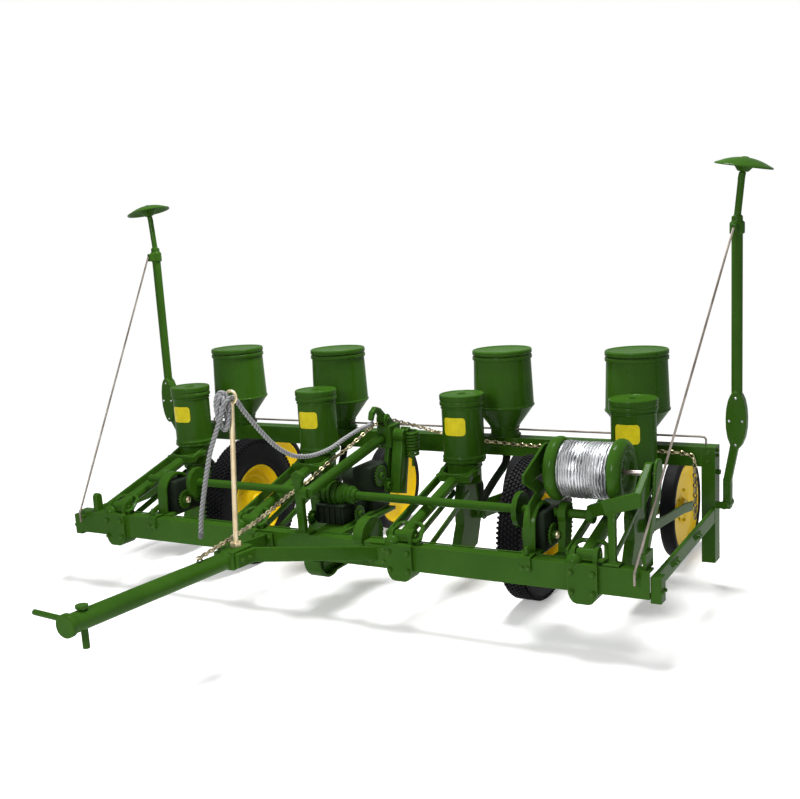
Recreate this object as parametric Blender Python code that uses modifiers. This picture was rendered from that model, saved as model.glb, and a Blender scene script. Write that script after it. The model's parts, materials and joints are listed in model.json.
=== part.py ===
"""Four-row drawn corn planter, full size.

Metres, +Z up. X runs across the rows, -Y is forward, towards the drawbar.
The origin is on the ground, under the middle of the machine's box.
"""
import math

import bmesh
import bpy
from mathutils import Matrix, Vector

# ---------------------------------------------------------------- driving sizes
ROW_SPACING = 1.016
OUTER_ROW_X = 1.5 * ROW_SPACING
HITCH_REACH = 1.87        # front bar's face to the tip of the tongue
PRESS_AXLE_BACK = 1.69    # front bar's face to the press wheels' axles
PRESS_RADIUS = 0.313
PRESS_WIDTH = 0.092
WHEEL_RADIUS = 0.407
WHEEL_WIDTH = 0.142
WHEEL_X = ROW_SPACING - 0.023
WHEEL_BACK = 0.69
RIM_RADIUS = 0.250
WHEEL_SIDES = 24
PRESS_SIDES = 16
CAN_SIDES = 16

PRESS_PIVOT = (0.905, 0.400)             # back, z
PRESS_PIN = 0.013
CHEEK = 0.012

BAR_HALF = OUTER_ROW_X + 0.323
BAR_BOTTOM = 0.316
BAR_TOP = 0.455
BAR_DEPTH = 0.075
BAR_WALL = 0.010
STAY_ANCHOR = (BAR_HALF - 0.057, -0.045, 0.425)   # x, back, z
STAY_RADIUS = 0.006
CASTING_HALF = 0.076
EAR_INNER = 0.047
EAR_OUTER = 0.068
PIN_RADIUS = 0.014
EYE_RADIUS = 0.033
BEAM_BACK = 1.132
BEAM_DEPTH = 0.100
BEAM_BOTTOM = 0.703
BEAM_TOP = 0.813
BEAM_WALL = 0.008
POST_WIDTH = 0.075
POST_BOTTOM = 0.155
BRACE_X = BAR_HALF + 0.013

SEED_BACK = 0.804
SEED_RADIUS = 0.122
SEED_LID_RADIUS = 0.132
SEED_BOTTOM = 0.760
SEED_TOP = 1.136
FERT_BACK = 1.211
FERT_RADIUS = 0.172
FERT_LID_RADIUS = 0.181
FERT_TOP = 1.342
FERT_SHOULDER = 1.000
FERT_FLARE = 0.012
FERT_NECK_RADIUS = 0.085
FERT_OUTER_X = OUTER_ROW_X - 0.107
FERT_INNER_X = ROW_SPACING / 2 + 0.080
SHEET = 0.003
LID_LIFT_GAP = 0.0015

PIVOT_BACK = 0.045
PIVOT_Z = 0.495
YOKE_BACK = 0.655
YOKE_Z = 0.655
TUBE_RADIUS = 0.034
SHAFT_BACK = 0.280
SHAFT_Z = 0.625
SHAFT_RADIUS = 0.024
SHAFT_END = OUTER_ROW_X - 0.054
COLLAR_X = OUTER_ROW_X - 0.194
COLLAR_RADIUS = 0.060
HOUSING_RADIUS = 0.060
CRANK_X = WHEEL_X + WHEEL_WIDTH / 2 + 0.018
STUB_RADIUS = 0.022
STUB_END_X = WHEEL_X - WHEEL_WIDTH / 2 - 0.014

REEL_BACK = 0.300
REEL_RADIUS = 0.167
REEL_Z = REEL_RADIUS + 0.686
REEL_CORE = 0.134
REEL_LEFT = OUTER_ROW_X - 0.266
REEL_RIGHT = OUTER_ROW_X + 0.136
REEL_FLANGE = 0.070
AXLE_RADIUS = 0.0125
REEL_LEFT_BRACKET_X = REEL_LEFT - 0.043
REEL_RIGHT_BRACKET_X = REEL_RIGHT + 0.104

TONGUE_Z = 0.600
TONGUE_RADIUS = 0.045
TONGUE_BACK = -0.680
YOKE_BAR_X = ROW_SPACING / 2 - 0.133
HITCH_PIN_BACK = -1.765
HITCH_PIN_RADIUS = 0.016
STANDARD_BACK = -0.731
STANDARD_TOP = 1.333
EYE_RING = 0.030
ROPE_RADIUS = 0.0125
ROPE_STEP = 0.060
ROPE_EYE_Z = 1.3440
MAST_X = -0.118
MAST_TOP = 0.780
MAST_JOINT_Z = 0.697       # where the lift tube meets the mast
HEAD_BACK = 0.740
HEAD_Z = 0.900
HEAD_X = 0.035
HOOK_PIVOT = (0.700, 0.985)              # back, z
LEVER_X = BAR_HALF - 0.047
LEVER_PIVOT = (0.095, 0.494)             # back, z

MARKER_X = BAR_HALF + 0.143
MARKER_BACK = 1.120
MARKER_PIVOT = (BAR_HALF + 0.076, 1.202, 0.490)     # x, back, z
MARKER_PIN_RADIUS = 0.012
MARKER_STOP_Z = 0.665
MARKER_TOP = 2.020
DISC_PLACE = (MARKER_X + 0.032, 1.125, 2.302)       # x, back, z of the middle of the rim
DISC_TILT = 11.2          # degrees outwards
DISC_DEPTH = 0.041
DISC_RADIUS = 0.149
DISC_PIN = 0.012
MARKER_HUB = 0.036

GAP = 0.0003
RUNNING = 0.0008          # radial clearance of a pin in its hole

FRONT_FACE_Y = (HITCH_REACH - PRESS_AXLE_BACK - PRESS_RADIUS) / 2
ROW_XS = [ROW_SPACING * (i - 1.5) for i in range(4)]
FERT_XS = [-FERT_OUTER_X, -FERT_INNER_X, FERT_INNER_X, FERT_OUTER_X]

PAINTS = {
    "green": ((0.040, 0.115, 0.016), 0.35, 0.0),
    "yellow": ((0.62, 0.33, 0.01), 0.35, 0.0),
    "rubber": ((0.012, 0.012, 0.014), 0.75, 0.0),
    "steel": ((0.45, 0.44, 0.42), 0.35, 1.0),
    "brass": ((0.60, 0.50, 0.30), 0.40, 1.0),
    "rope": ((0.35, 0.35, 0.36), 0.90, 0.0),
}


def at(x, back, z):
    """A point given from the front bar's face, in the part's frame."""
    return Vector((x, back + FRONT_FACE_Y, z))


def start_scene():
    for obj in list(bpy.data.objects):
        bpy.data.objects.remove(obj, do_unlink=True)
    made = {}
    for name in ("corn_planter", "cutters"):
        made[name] = bpy.data.collections.new(name)
        bpy.context.scene.collection.children.link(made[name])
    return made["corn_planter"], made["cutters"]


PARTS, CUTTERS = start_scene()


def paint(name):
    material = bpy.data.materials.get(name)
    if material is None:
        color, roughness, metallic = PAINTS[name]
        material = bpy.data.materials.new(name)
        material.use_nodes = True
        shader = material.node_tree.nodes["Principled BSDF"]
        shader.inputs["Base Color"].default_value = (*color, 1)
        shader.inputs["Roughness"].default_value = roughness
        shader.inputs["Metallic"].default_value = metallic
    return material


# ---------------------------------------------------------------- shape helpers
def add_mesh(name, build):
    """A mesh object whose bmesh is filled in by build, kept out of the part for now."""
    mesh = bpy.data.meshes.new(name)
    work = bmesh.new()
    build(work)
    bmesh.ops.recalc_face_normals(work, faces=work.faces)
    work.to_mesh(mesh)
    work.free()
    obj = bpy.data.objects.new(name, mesh)
    CUTTERS.objects.link(obj)
    obj.hide_render = True
    obj.display_type = "WIRE"
    return obj


def block(low, high):
    """A box between two corners."""
    low, high = Vector(low), Vector(high)
    size = high - low
    place = Matrix.Translation((low + high) / 2) @ Matrix.Diagonal((*size, 1))
    return add_mesh("block", lambda work: bmesh.ops.create_cube(work, size=1, matrix=place))


def rod(start, end, radius, sides=10):
    """A round bar from start to end."""
    start, end = Vector(start), Vector(end)
    run = end - start
    turn = run.to_track_quat("Z", "Y").to_matrix().to_4x4()
    half = Matrix.Rotation(math.pi / sides, 4, "Z")
    place = Matrix.Translation((start + end) / 2) @ turn @ half

    def build(work):
        bmesh.ops.create_cone(work, cap_ends=True, segments=sides, radius1=radius,
                              radius2=radius, depth=run.length, matrix=place)
    return add_mesh("rod", build)


def bar(start, end, width, thickness, side=(1, 0, 0)):
    """A flat bar from start to end; its thickness lies along side."""
    start, end = Vector(start), Vector(end)
    along = (end - start).normalized()
    flat = (Vector(side) - along * along.dot(Vector(side))).normalized()
    across = along.cross(flat)
    turn = Matrix((across, flat, along)).transposed().to_4x4()
    size = Matrix.Diagonal((width, thickness, (end - start).length, 1))
    place = Matrix.Translation((start + end) / 2) @ turn @ size
    return add_mesh("bar", lambda work: bmesh.ops.create_cube(work, size=1, matrix=place))


def plate(points, low, high, axis="X"):
    """A flat outline, thick from low to high along axis.

    The points are (y, z) for an X plate, (z, x) for a Y plate and (x, y) for a Z plate.
    """
    curve = bpy.data.curves.new("plate", "CURVE")
    curve.dimensions = "2D"
    curve.fill_mode = "BOTH"
    curve.extrude = (high - low) / 2
    spline = curve.splines.new("POLY")
    spline.use_cyclic_u = True
    spline.points.add(len(points) - 1)
    for target, point in zip(spline.points, points):
        target.co = (*point, 0, 1)
    obj = bpy.data.objects.new("plate", curve)
    CUTTERS.objects.link(obj)
    stand = Matrix.Identity(4)
    if axis == "X":
        stand = Matrix(((0, 0, 1), (1, 0, 0), (0, 1, 0))).to_4x4()
    if axis == "Y":
        stand = Matrix(((0, 1, 0), (0, 0, 1), (1, 0, 0))).to_4x4()
    return frozen(obj, stand @ Matrix.Translation((0, 0, (low + high) / 2)))


def arc(centre, radius, first, last, steps):
    """Points on an arc, from first to last degrees."""
    return [(centre[0] + radius * math.cos(math.radians(first + (last - first) * i / steps)),
             centre[1] + radius * math.sin(math.radians(first + (last - first) * i / steps)))
            for i in range(steps + 1)]


def turned(profile, sides, centre, axis="Z", closed=True):
    """A profile of (radius, height) points turned about an axis through centre."""
    mesh = bpy.data.meshes.new("turned")
    count = len(profile)
    edges = [(i, (i + 1) % count) for i in range(count if closed else count - 1)]
    mesh.from_pydata([(radius, 0, height) for radius, height in profile], edges, [])
    obj = bpy.data.objects.new("turned", mesh)
    CUTTERS.objects.link(obj)
    obj.hide_render = True
    obj.display_type = "WIRE"
    screw = obj.modifiers.new("turn", "SCREW")
    screw.steps = screw.render_steps = sides
    screw.use_merge_vertices = True
    screw.merge_threshold = 1e-5
    turn = Matrix.Rotation(math.pi / sides, 4, "Z")
    if axis == "X":
        turn = Matrix.Rotation(math.pi / 2, 4, "Y") @ turn
    if axis == "Y":
        turn = Matrix.Rotation(-math.pi / 2, 4, "X") @ turn
    return frozen(obj, Matrix.Translation(Vector(centre)) @ turn)


def frozen(obj, place=None):
    """The evaluated object as a plain mesh object, welded and placed."""
    view = bpy.context.evaluated_depsgraph_get()
    view.update()
    mesh = bpy.data.meshes.new_from_object(obj.evaluated_get(view))
    mesh.transform(obj.matrix_world if place is None else place)
    work = bmesh.new()
    work.from_mesh(mesh)
    bmesh.ops.remove_doubles(work, verts=work.verts, dist=1e-5)
    bmesh.ops.recalc_face_normals(work, faces=work.faces)
    work.to_mesh(mesh)
    work.free()
    made = bpy.data.objects.new(obj.name, mesh)
    CUTTERS.objects.link(made)
    made.hide_render = True
    made.display_type = "WIRE"
    bpy.data.objects.remove(obj, do_unlink=True)
    return made


def wire(name, colour, points, radius, resolution=2):
    """A round wire or cord along a list of points, as a named node."""
    curve = bpy.data.curves.new(name, "CURVE")
    curve.dimensions = "3D"
    curve.bevel_depth = radius
    curve.bevel_resolution = resolution
    curve.use_fill_caps = True
    spline = curve.splines.new("POLY")
    spline.points.add(len(points) - 1)
    for target, point in zip(spline.points, points):
        target.co = (*point, 1)
    curve.materials.append(paint(colour))
    obj = bpy.data.objects.new(name, curve)
    PARTS.objects.link(obj)
    return obj


def smooth_path(route, spacing):
    """Points read from a smooth curve through the route, about spacing apart."""
    curve = []
    ends = [route[0] * 2 - route[1], *route, route[-1] * 2 - route[-2]]
    for a, b, c, d in zip(ends, ends[1:], ends[2:], ends[3:]):
        steps = max(1, round((c - b).length / spacing))
        for i in range(steps):
            t = i / steps
            curve.append(0.5 * (2 * b + (c - a) * t + (2 * a - 5 * b + 4 * c - d) * t ** 2
                                + (3 * b - a - 3 * c + d) * t ** 3))
    return [*curve, route[-1]]


def finish(name, colour, base, joins=(), cuts=(), pivot=None):
    """Name a node, join and cut its solids, bevel it and put its origin on its pivot."""
    base.name = name
    base.data.name = name
    base.hide_render = False
    base.display_type = "TEXTURED"
    CUTTERS.objects.unlink(base)
    PARTS.objects.link(base)
    for tool, operation in [(t, "UNION") for t in joins] + [(t, "DIFFERENCE") for t in cuts]:
        change = base.modifiers.new(operation.lower(), "BOOLEAN")
        change.operation = operation
        change.object = tool
    base.data.materials.clear()
    base.data.materials.append(paint(colour))
    base.data.shade_smooth()
    base.data.set_sharp_from_angle(angle=math.radians(40))
    if pivot is not None:
        base.data.transform(Matrix.Translation(-Vector(pivot)))
        base.location = pivot
    return base


# ---------------------------------------------------------------- main frame
def front_bar():
    y = FRONT_FACE_Y
    web = y + BAR_WALL
    low, high = BAR_BOTTOM, BAR_TOP
    section = [(y, low), (y + BAR_DEPTH, low), (y + BAR_DEPTH, low + BAR_WALL),
               (web, low + BAR_WALL), (web, high - BAR_WALL),
               (y + BAR_DEPTH, high - BAR_WALL), (y + BAR_DEPTH, high), (y, high)]
    channel = plate(section, -BAR_HALF, BAR_HALF)
    joins, cuts = [], []
    for row_x in ROW_XS:
        solids, holes = row_casting(row_x)
        joins += solids
        cuts += holes
    for x in (-COLLAR_X, COLLAR_X):
        solids, holes = shaft_hanger(x)
        joins += solids
        cuts += holes
    joins += [*depth_stub(), *lever_bracket(), stay_anchor(-1), stay_anchor(1)]
    finish("front_bar", "green", channel, joins, cuts)


def row_casting(row_x):
    """The bracket that clamps a row to the bar: a round-bottomed block with two ears and a dome."""
    y = FRONT_FACE_Y
    half = [(0.262, 0.030), (0.268, 0.048), (0.284, 0.062), (0.306, 0.072), (0.335, CASTING_HALF),
            (0.455, CASTING_HALF), (0.464, 0.066)]
    front = [(z, row_x + w) for z, w in half] + [(z, row_x - w) for z, w in reversed(half)]
    dome = turned([(0.0, 0.040), (0.020, 0.036), (0.034, 0.024), (0.042, 0.006), (0.042, -0.020),
                   (0.0, -0.020)], 14, at(row_x - 0.050, 0.010, 0.466), closed=False)
    solids = [plate(front, y - 0.026, y + 0.088, "Y"), dome]
    centre = (y + PIVOT_BACK, PIVOT_Z)
    ear = [(y - 0.005, 0.440), (y + 0.088, 0.440), *arc(centre, 0.042, 10, 170, 4)]
    for side in (-1, 1):
        edges = sorted((row_x + side * EAR_INNER, row_x + side * EAR_OUTER))
        solids.append(plate(ear, *edges))
    hole = rod(at(row_x - 0.1, PIVOT_BACK, PIVOT_Z), at(row_x + 0.1, PIVOT_BACK, PIVOT_Z),
               PIN_RADIUS + RUNNING)
    room = rod(at(row_x - EAR_INNER + GAP, PIVOT_BACK, PIVOT_Z),
               at(row_x + EAR_INNER - GAP, PIVOT_BACK, PIVOT_Z), EYE_RADIUS + 0.004)
    return solids, [hole, room]


def depth_stub():
    """The short round-topped hand lever on the left end of the bar."""
    y = FRONT_FACE_Y
    outline = [(y + 0.010, 0.445), (y + 0.062, 0.445), *arc((y + 0.036, 0.545), 0.024, 0, 180, 5)]
    return [plate(outline, -BAR_HALF + 0.125, -BAR_HALF + 0.157)]


def stay_anchor(side):
    """The stub on the bar's face that a marker's stay wire turns on."""
    x, back, z = STAY_ANCHOR
    return rod(at(side * x, 0.005, z), at(side * x, back + STAY_RADIUS + RUNNING, z), 0.009)


def rear_beam():
    y, low, high, wall = BEAM_BACK + FRONT_FACE_Y, BEAM_BOTTOM, BEAM_TOP, BEAM_WALL
    far = y + BEAM_DEPTH
    section = [(y, low), (y + wall, low), (y + wall, high - wall), (far - wall, high - wall),
               (far - wall, low), (far, low), (far, high), (y, high)]
    finish("rear_beam", "green", plate(section, -BAR_HALF + 0.051, BAR_HALF - 0.051))


def end_posts():
    y = BEAM_BACK + FRONT_FACE_Y
    inner, outer = BAR_HALF - 0.051 + GAP, BAR_HALF - 0.051 + GAP + POST_WIDTH
    for name, side in (("end_post_left", -1), ("end_post_right", 1)):
        section = [(side * inner, y), (side * outer, y), (side * outer, y + BEAM_DEPTH),
                   (side * inner, y + BEAM_DEPTH), (side * inner, y + BEAM_DEPTH - BEAM_WALL),
                   (side * (outer - BEAM_WALL), y + BEAM_DEPTH - BEAM_WALL),
                   (side * (outer - BEAM_WALL), y + BEAM_WALL), (side * inner, y + BEAM_WALL)]
        shell = plate(section, POST_BOTTOM, BEAM_TOP, "Z")
        cap = block((min(side * inner, side * outer), y, BEAM_TOP - BEAM_WALL),
                    (max(side * inner, side * outer), y + BEAM_DEPTH, BEAM_TOP))
        finish(name, "green", shell, [cap, *marker_hinge(side, side * outer)])


def marker_hinge(side, face):
    """The lug, hinge pin and stop pin that hold a marker on the outer face of its post."""
    pivot, along = marker_axis(side)
    root = pivot - along * 0.062
    boss = rod(root, pivot - along * (MARKER_HUB + GAP), 0.022)
    pin = rod(root, pivot + along * (MARKER_HUB + 0.008), MARKER_PIN_RADIUS)
    web = block((min(face - side * 0.004, root.x), root.y + 0.002, root.z - 0.018),
                (max(face - side * 0.004, root.x), root.y + 0.020, root.z + 0.018))
    stop = rod(at(face - side * 0.004, MARKER_PIVOT[1] - 0.010, MARKER_STOP_Z),
               at(face + side * 0.016, MARKER_PIVOT[1] - 0.010, MARKER_STOP_Z), 0.014)
    return [boss, pin, web, stop]


def side_braces():
    """Flat bars from a foot on each end of the front bar back to the end post."""
    for name, side in (("side_brace_left", -1), ("side_brace_right", 1)):
        x = side * BRACE_X
        run = bar(at(x, 0.03, 0.385), at(x, BEAM_BACK - 0.0022, 0.430), 0.085, 0.022)
        foot_low = at(min(side * (BAR_HALF + GAP), side * (BRACE_X + 0.040)), 0.010, BAR_BOTTOM - 0.020)
        foot_high = at(max(side * (BAR_HALF + GAP), side * (BRACE_X + 0.040)), 0.085, BAR_TOP - 0.030)
        pad_x = side * (BRACE_X + 0.014)
        pads = [bar(at(pad_x, a, z), at(pad_x, a + 0.09, z + 0.0035), 0.026, 0.014)
                for a, z in ((0.30, 0.400), (0.72, 0.417))]
        finish(name, "green", run, [block(foot_low, foot_high), *pads])


# ---------------------------------------------------------------- drawbar
def tongue():
    tip = -HITCH_REACH
    pipe = rod(at(0, tip + 0.005, TONGUE_Z), at(0, TONGUE_BACK, TONGUE_Z - 0.040), TONGUE_RADIUS, 16)
    cap = rod(at(0, tip, TONGUE_Z), at(0, tip + 0.030, TONGUE_Z), TONGUE_RADIUS + 0.008, 16)
    handle = rod(at(0, tip + 0.060, TONGUE_Z), at(-0.270, tip + 0.085, TONGUE_Z), 0.014)
    socket = block(at(-0.055, TONGUE_BACK - 0.150, 0.520), at(0.055, TONGUE_BACK + 0.010, 0.612))
    hole = rod(at(0, HITCH_PIN_BACK, 0.4), at(0, HITCH_PIN_BACK, 0.8), HITCH_PIN_RADIUS + RUNNING)
    finish("tongue", "green", pipe, [cap, handle, socket], [hole])


def hitch_pin():
    low = at(0, HITCH_PIN_BACK, 0.470)
    top = TONGUE_Z + TONGUE_RADIUS + 0.001
    shank = rod(low, at(0, HITCH_PIN_BACK, top + 0.004), HITCH_PIN_RADIUS)
    head = rod(at(0, HITCH_PIN_BACK, top), at(0, HITCH_PIN_BACK, top + 0.014), 0.028)
    finish("hitch_pin", "green", shank, [head], pivot=at(0, HITCH_PIN_BACK, top))


def tongue_yoke():
    """Two flat bars that spread from the tongue's socket to the front bar."""
    for name, side in (("tongue_yoke_left", -1), ("tongue_yoke_right", 1)):
        front = at(side * (0.055 + GAP + 0.010), TONGUE_BACK - 0.140, 0.566)
        bend = at(side * (0.055 + GAP + 0.010), TONGUE_BACK - 0.000, 0.560)
        back = at(side * YOKE_BAR_X, -0.012, 0.400)
        tab = block(at(min(side * (YOKE_BAR_X - 0.045), side * (YOKE_BAR_X + 0.020)), -0.016, 0.350),
                    at(max(side * (YOKE_BAR_X - 0.045), side * (YOKE_BAR_X + 0.020)), -GAP, 0.440))
        finish(name, "green", bar(bend, back, 0.075, 0.016), [bar(front, bend + (bend - front) * 0.05,
                                                                0.075, 0.020), tab])


def rope_standard():
    """The upright rod that holds the trip rope's eye."""
    foot_z = 0.612 + GAP
    eye = at(0, STANDARD_BACK + 0.065, STANDARD_TOP)
    shaft = rod(at(0, STANDARD_BACK, foot_z + 0.006), eye + Vector((0, 0, -0.014)), 0.013)
    foot = rod(at(0, STANDARD_BACK, foot_z), at(0, STANDARD_BACK, foot_z + 0.022), 0.030, 6)
    ring = turned([(EYE_RING + 0.008 * math.cos(a), 0.008 * math.sin(a))
                   for a in [-2 * math.pi * i / 6 for i in range(6)]], 12, eye + Vector((0, 0, 0.014)),
                  "Y")
    finish("rope_standard", "brass", shaft, [foot, ring])


# ---------------------------------------------------------------- lift
def lift_mast():
    """The upright lever behind the bar, with the tube that reaches back to the lift head."""
    foot = at(MAST_X, 0.012, BAR_TOP + 0.006)
    upright = bar(foot, at(MAST_X, 0.000, MAST_TOP), 0.036, 0.046)
    base = block(at(MAST_X - 0.05, -0.014, BAR_TOP + GAP), at(MAST_X + 0.05, 0.070, BAR_TOP + 0.016))
    palm = rod(at(MAST_X - 0.004, -0.016, MAST_TOP), at(MAST_X - 0.004, 0.016, MAST_TOP), 0.038, 14)
    joint = rod(at(MAST_X + 0.010, 0.000, MAST_JOINT_Z), at(MAST_X + 0.062, 0.000, MAST_JOINT_Z), 0.034, 12)
    tube = rod(at(MAST_X + 0.056, 0.002, MAST_JOINT_Z), at(0.020, HEAD_BACK - 0.0592, HEAD_Z - 0.030),
               0.032, 14)
    finish("lift_mast", "green", upright, [base, palm, joint, tube])


def lift_head():
    """The casting at the top of the lift, on a leg that stands on the clutch housing."""
    low = at(HEAD_X - 0.045, HEAD_BACK - 0.050, HEAD_Z - 0.085)
    high = at(HEAD_X + 0.045, HEAD_BACK + 0.075, HEAD_Z + 0.045)
    cheeks = []
    centre = (HOOK_PIVOT[0] + FRONT_FACE_Y, HOOK_PIVOT[1])
    y = FRONT_FACE_Y
    outline = [(y + HEAD_BACK + 0.060, HEAD_Z + 0.030), *arc(centre, 0.034, 20, 190, 6),
               (y + HEAD_BACK - 0.050, HEAD_Z + 0.030)]
    for side in (-1, 1):
        inner, outer = HEAD_X + side * 0.0165, HEAD_X + side * 0.032
        cheeks.append(plate(outline, min(inner, outer), max(inner, outer)))
    pin = rod(at(HEAD_X - 0.040, *HOOK_PIVOT), at(HEAD_X + 0.040, *HOOK_PIVOT), 0.010, 12)
    boss = rod(at(HEAD_X + 0.02, HEAD_BACK + 0.02, HEAD_Z - 0.020),
               at(HEAD_X + 0.110, HEAD_BACK + 0.02, HEAD_Z - 0.020), 0.040)
    leg = bar(at(HEAD_X + 0.015, HEAD_BACK + 0.01, HEAD_Z - 0.060), at(0.050, 0.600, 0.440), 0.080, 0.030)
    brace = bar(at(0.050, 0.610, 0.455), at(0.050, 0.175, 0.440), 0.060, 0.030)
    foot = bar(at(0.050, 0.200, 0.442), at(0.050, 0.0755, 0.400), 0.060, 0.030)
    finish("lift_head", "green", block(low, high), [*cheeks, pin, boss, leg, brace, foot])


def trip_hook():
    """The hooked arm on the lift head that the trip rope pulls."""
    y, (back, z) = FRONT_FACE_Y, HOOK_PIVOT
    centre = (y + back, z)
    outline = [*arc(centre, 0.028, -60, 60, 5), (y + 0.655, 1.060), (y + 0.605, 1.078),
               (y + 0.560, 1.052), (y + 0.545, 1.010), (y + 0.566, 0.998), (y + 0.584, 1.030),
               (y + 0.610, 1.046), (y + 0.640, 1.030), (y + 0.672, 0.975)]
    body = plate(outline, HEAD_X - 0.0155, HEAD_X + 0.0155)
    hole = rod(at(HEAD_X - 0.05, back, z), at(HEAD_X + 0.05, back, z), 0.010 + RUNNING, 12)
    finish("trip_hook", "green", body, cuts=[hole], pivot=at(HEAD_X, back, z))


def lift_housing():
    """The clutch housing on the middle of the lift shaft, with its two shield plates."""
    shell = rod(at(-0.130, SHAFT_BACK, SHAFT_Z), at(0.010, SHAFT_BACK, SHAFT_Z), HOUSING_RADIUS, 16)
    bell = rod(at(0.008, SHAFT_BACK, SHAFT_Z), at(0.062, SHAFT_BACK, SHAFT_Z), 0.046, 12)
    neck = rod(at(-0.160, SHAFT_BACK, SHAFT_Z), at(-0.128, SHAFT_BACK, SHAFT_Z), 0.044, 12)
    stand = block(at(-0.115, SHAFT_BACK - 0.045, 0.400), at(-0.035, SHAFT_BACK + 0.045, SHAFT_Z - 0.04))
    arm = block(at(-0.115, BAR_DEPTH + GAP, 0.395), at(-0.035, SHAFT_BACK + 0.045, 0.435))
    bores = [rod(at(a, SHAFT_BACK, SHAFT_Z), at(b, SHAFT_BACK, SHAFT_Z), SHAFT_RADIUS + RUNNING, 16)
             for a, b in ((-0.2, -0.105), (0.005, 0.1))]
    y = FRONT_FACE_Y
    bow, lining = (y + 0.120, 0.306), (y + 0.120, 0.306)
    sled = [*arc(bow, 0.122, 180, 300, 8), (y + 0.290, 0.204), (y + 0.370, 0.250), (y + 0.360, 0.262),
            (y + 0.280, 0.222), *arc(lining, 0.104, 300, 180, 8)]
    skid = plate(sled, -0.125, -0.020)
    web = block(at(-0.090, 0.100, 0.196), at(-0.060, SHAFT_BACK + 0.020, 0.410))
    finish("lift_housing", "green", shell, [bell, neck, stand, arm, skid, web], bores)


def rockshafts():
    """Each half of the lift shaft, with the crank that carries a wheel on its stub axle."""
    for name, side, inner in (("rockshaft_left", -1, 0.110), ("rockshaft_right", 1, 0.010)):
        shaft = rod(at(side * inner, SHAFT_BACK, SHAFT_Z), at(side * SHAFT_END, SHAFT_BACK, SHAFT_Z),
                    SHAFT_RADIUS, 16)
        x = side * CRANK_X
        hub = rod(at(x - 0.014, SHAFT_BACK, SHAFT_Z), at(x + 0.014, SHAFT_BACK, SHAFT_Z), 0.095, 12)
        arm = bar(at(x, SHAFT_BACK, SHAFT_Z), at(x, WHEEL_BACK, WHEEL_RADIUS), 0.090, 0.024)
        boss = rod(at(x - 0.014, WHEEL_BACK, WHEEL_RADIUS), at(x + 0.014, WHEEL_BACK, WHEEL_RADIUS),
                   0.050, 12)
        stub = rod(at(x, WHEEL_BACK, WHEEL_RADIUS), at(side * STUB_END_X, WHEEL_BACK, WHEEL_RADIUS),
                   STUB_RADIUS, 16)
        finish(name, "green", shaft, [hub, arm, boss, stub], pivot=at(0, SHAFT_BACK, SHAFT_Z))


def shaft_hanger(x):
    """A bearing stand that carries the lift shaft from the front bar, and its bore."""
    ring = rod(at(x - 0.020, SHAFT_BACK, SHAFT_Z), at(x + 0.020, SHAFT_BACK, SHAFT_Z), COLLAR_RADIUS, 12)
    leg = bar(at(x, SHAFT_BACK, SHAFT_Z - 0.030), at(x, SHAFT_BACK - 0.030, 0.420), 0.090, 0.036)
    arm = block(at(x - 0.018, 0.004, 0.385), at(x + 0.018, SHAFT_BACK + 0.016, 0.440))
    bore = rod(at(x - 0.1, SHAFT_BACK, SHAFT_Z), at(x + 0.1, SHAFT_BACK, SHAFT_Z),
               SHAFT_RADIUS + RUNNING, 16)
    return [ring, leg, arm], [bore]


# ---------------------------------------------------------------- wheels
def carrying_wheels():
    """Rubber tyres on dished rims that turn on the cranks' stub axles."""
    corner = WHEEL_RADIUS / math.cos(math.pi / WHEEL_SIDES)
    half = WHEEL_WIDTH / 2
    seat = RIM_RADIUS - 0.012
    for tag, side in (("left", -1), ("right", 1)):
        hub = at(side * WHEEL_X, WHEEL_BACK, WHEEL_RADIUS)
        tread = [(corner, -half * 0.62), (corner, half * 0.62), (corner - 0.022, half * 0.93),
                 (RIM_RADIUS + 0.070, half), (seat, half * 0.66), (seat, -half * 0.66),
                 (RIM_RADIUS + 0.070, -half), (corner - 0.022, -half * 0.93)]
        finish("tyre_" + tag, "rubber", turned(tread, WHEEL_SIDES, hub, "X"), pivot=hub)
        out = seat - GAP
        bore = STUB_RADIUS + RUNNING
        dish = [(out, half * 0.62), (out - 0.014, half * 0.62), (out - 0.030, half * 0.30),
                (0.080, half * 0.14), (0.046, half * 0.84), (bore, half * 0.84),
                (bore, -half * 0.84), (0.046, -half * 0.84), (0.080, -half * 0.02),
                (out - 0.030, -half * 0.10), (out - 0.014, -half * 0.62), (out, -half * 0.62)]
        if side < 0:
            dish = [(r, -h) for r, h in dish]
        finish("rim_" + tag, "yellow", turned(dish, WHEEL_SIDES, hub, "X"), pivot=hub)


def press_wheels():
    """Dished press wheels that follow the rows, each between the two cheeks of its arm."""
    corner = PRESS_RADIUS / math.cos(math.pi / PRESS_SIDES)
    half = PRESS_WIDTH / 2
    bore = PRESS_PIN + RUNNING
    for i, row_x in enumerate(ROW_XS, 1):
        hub = at(row_x, PRESS_AXLE_BACK, PRESS_RADIUS)
        face = [(corner, -half), (corner, half), (corner - 0.014, half * 0.92),
                (corner - 0.040, half * 0.26), (0.050, half * 0.20), (0.044, half * 0.62),
                (bore, half * 0.62), (bore, -half * 0.62), (0.044, -half * 0.62),
                (0.050, -half * 0.20), (corner - 0.040, -half * 0.06), (corner - 0.014, -half * 0.92)]
        finish("press_wheel_%d" % i, "yellow", turned(face, PRESS_SIDES, hub, "X"), pivot=hub)


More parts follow.
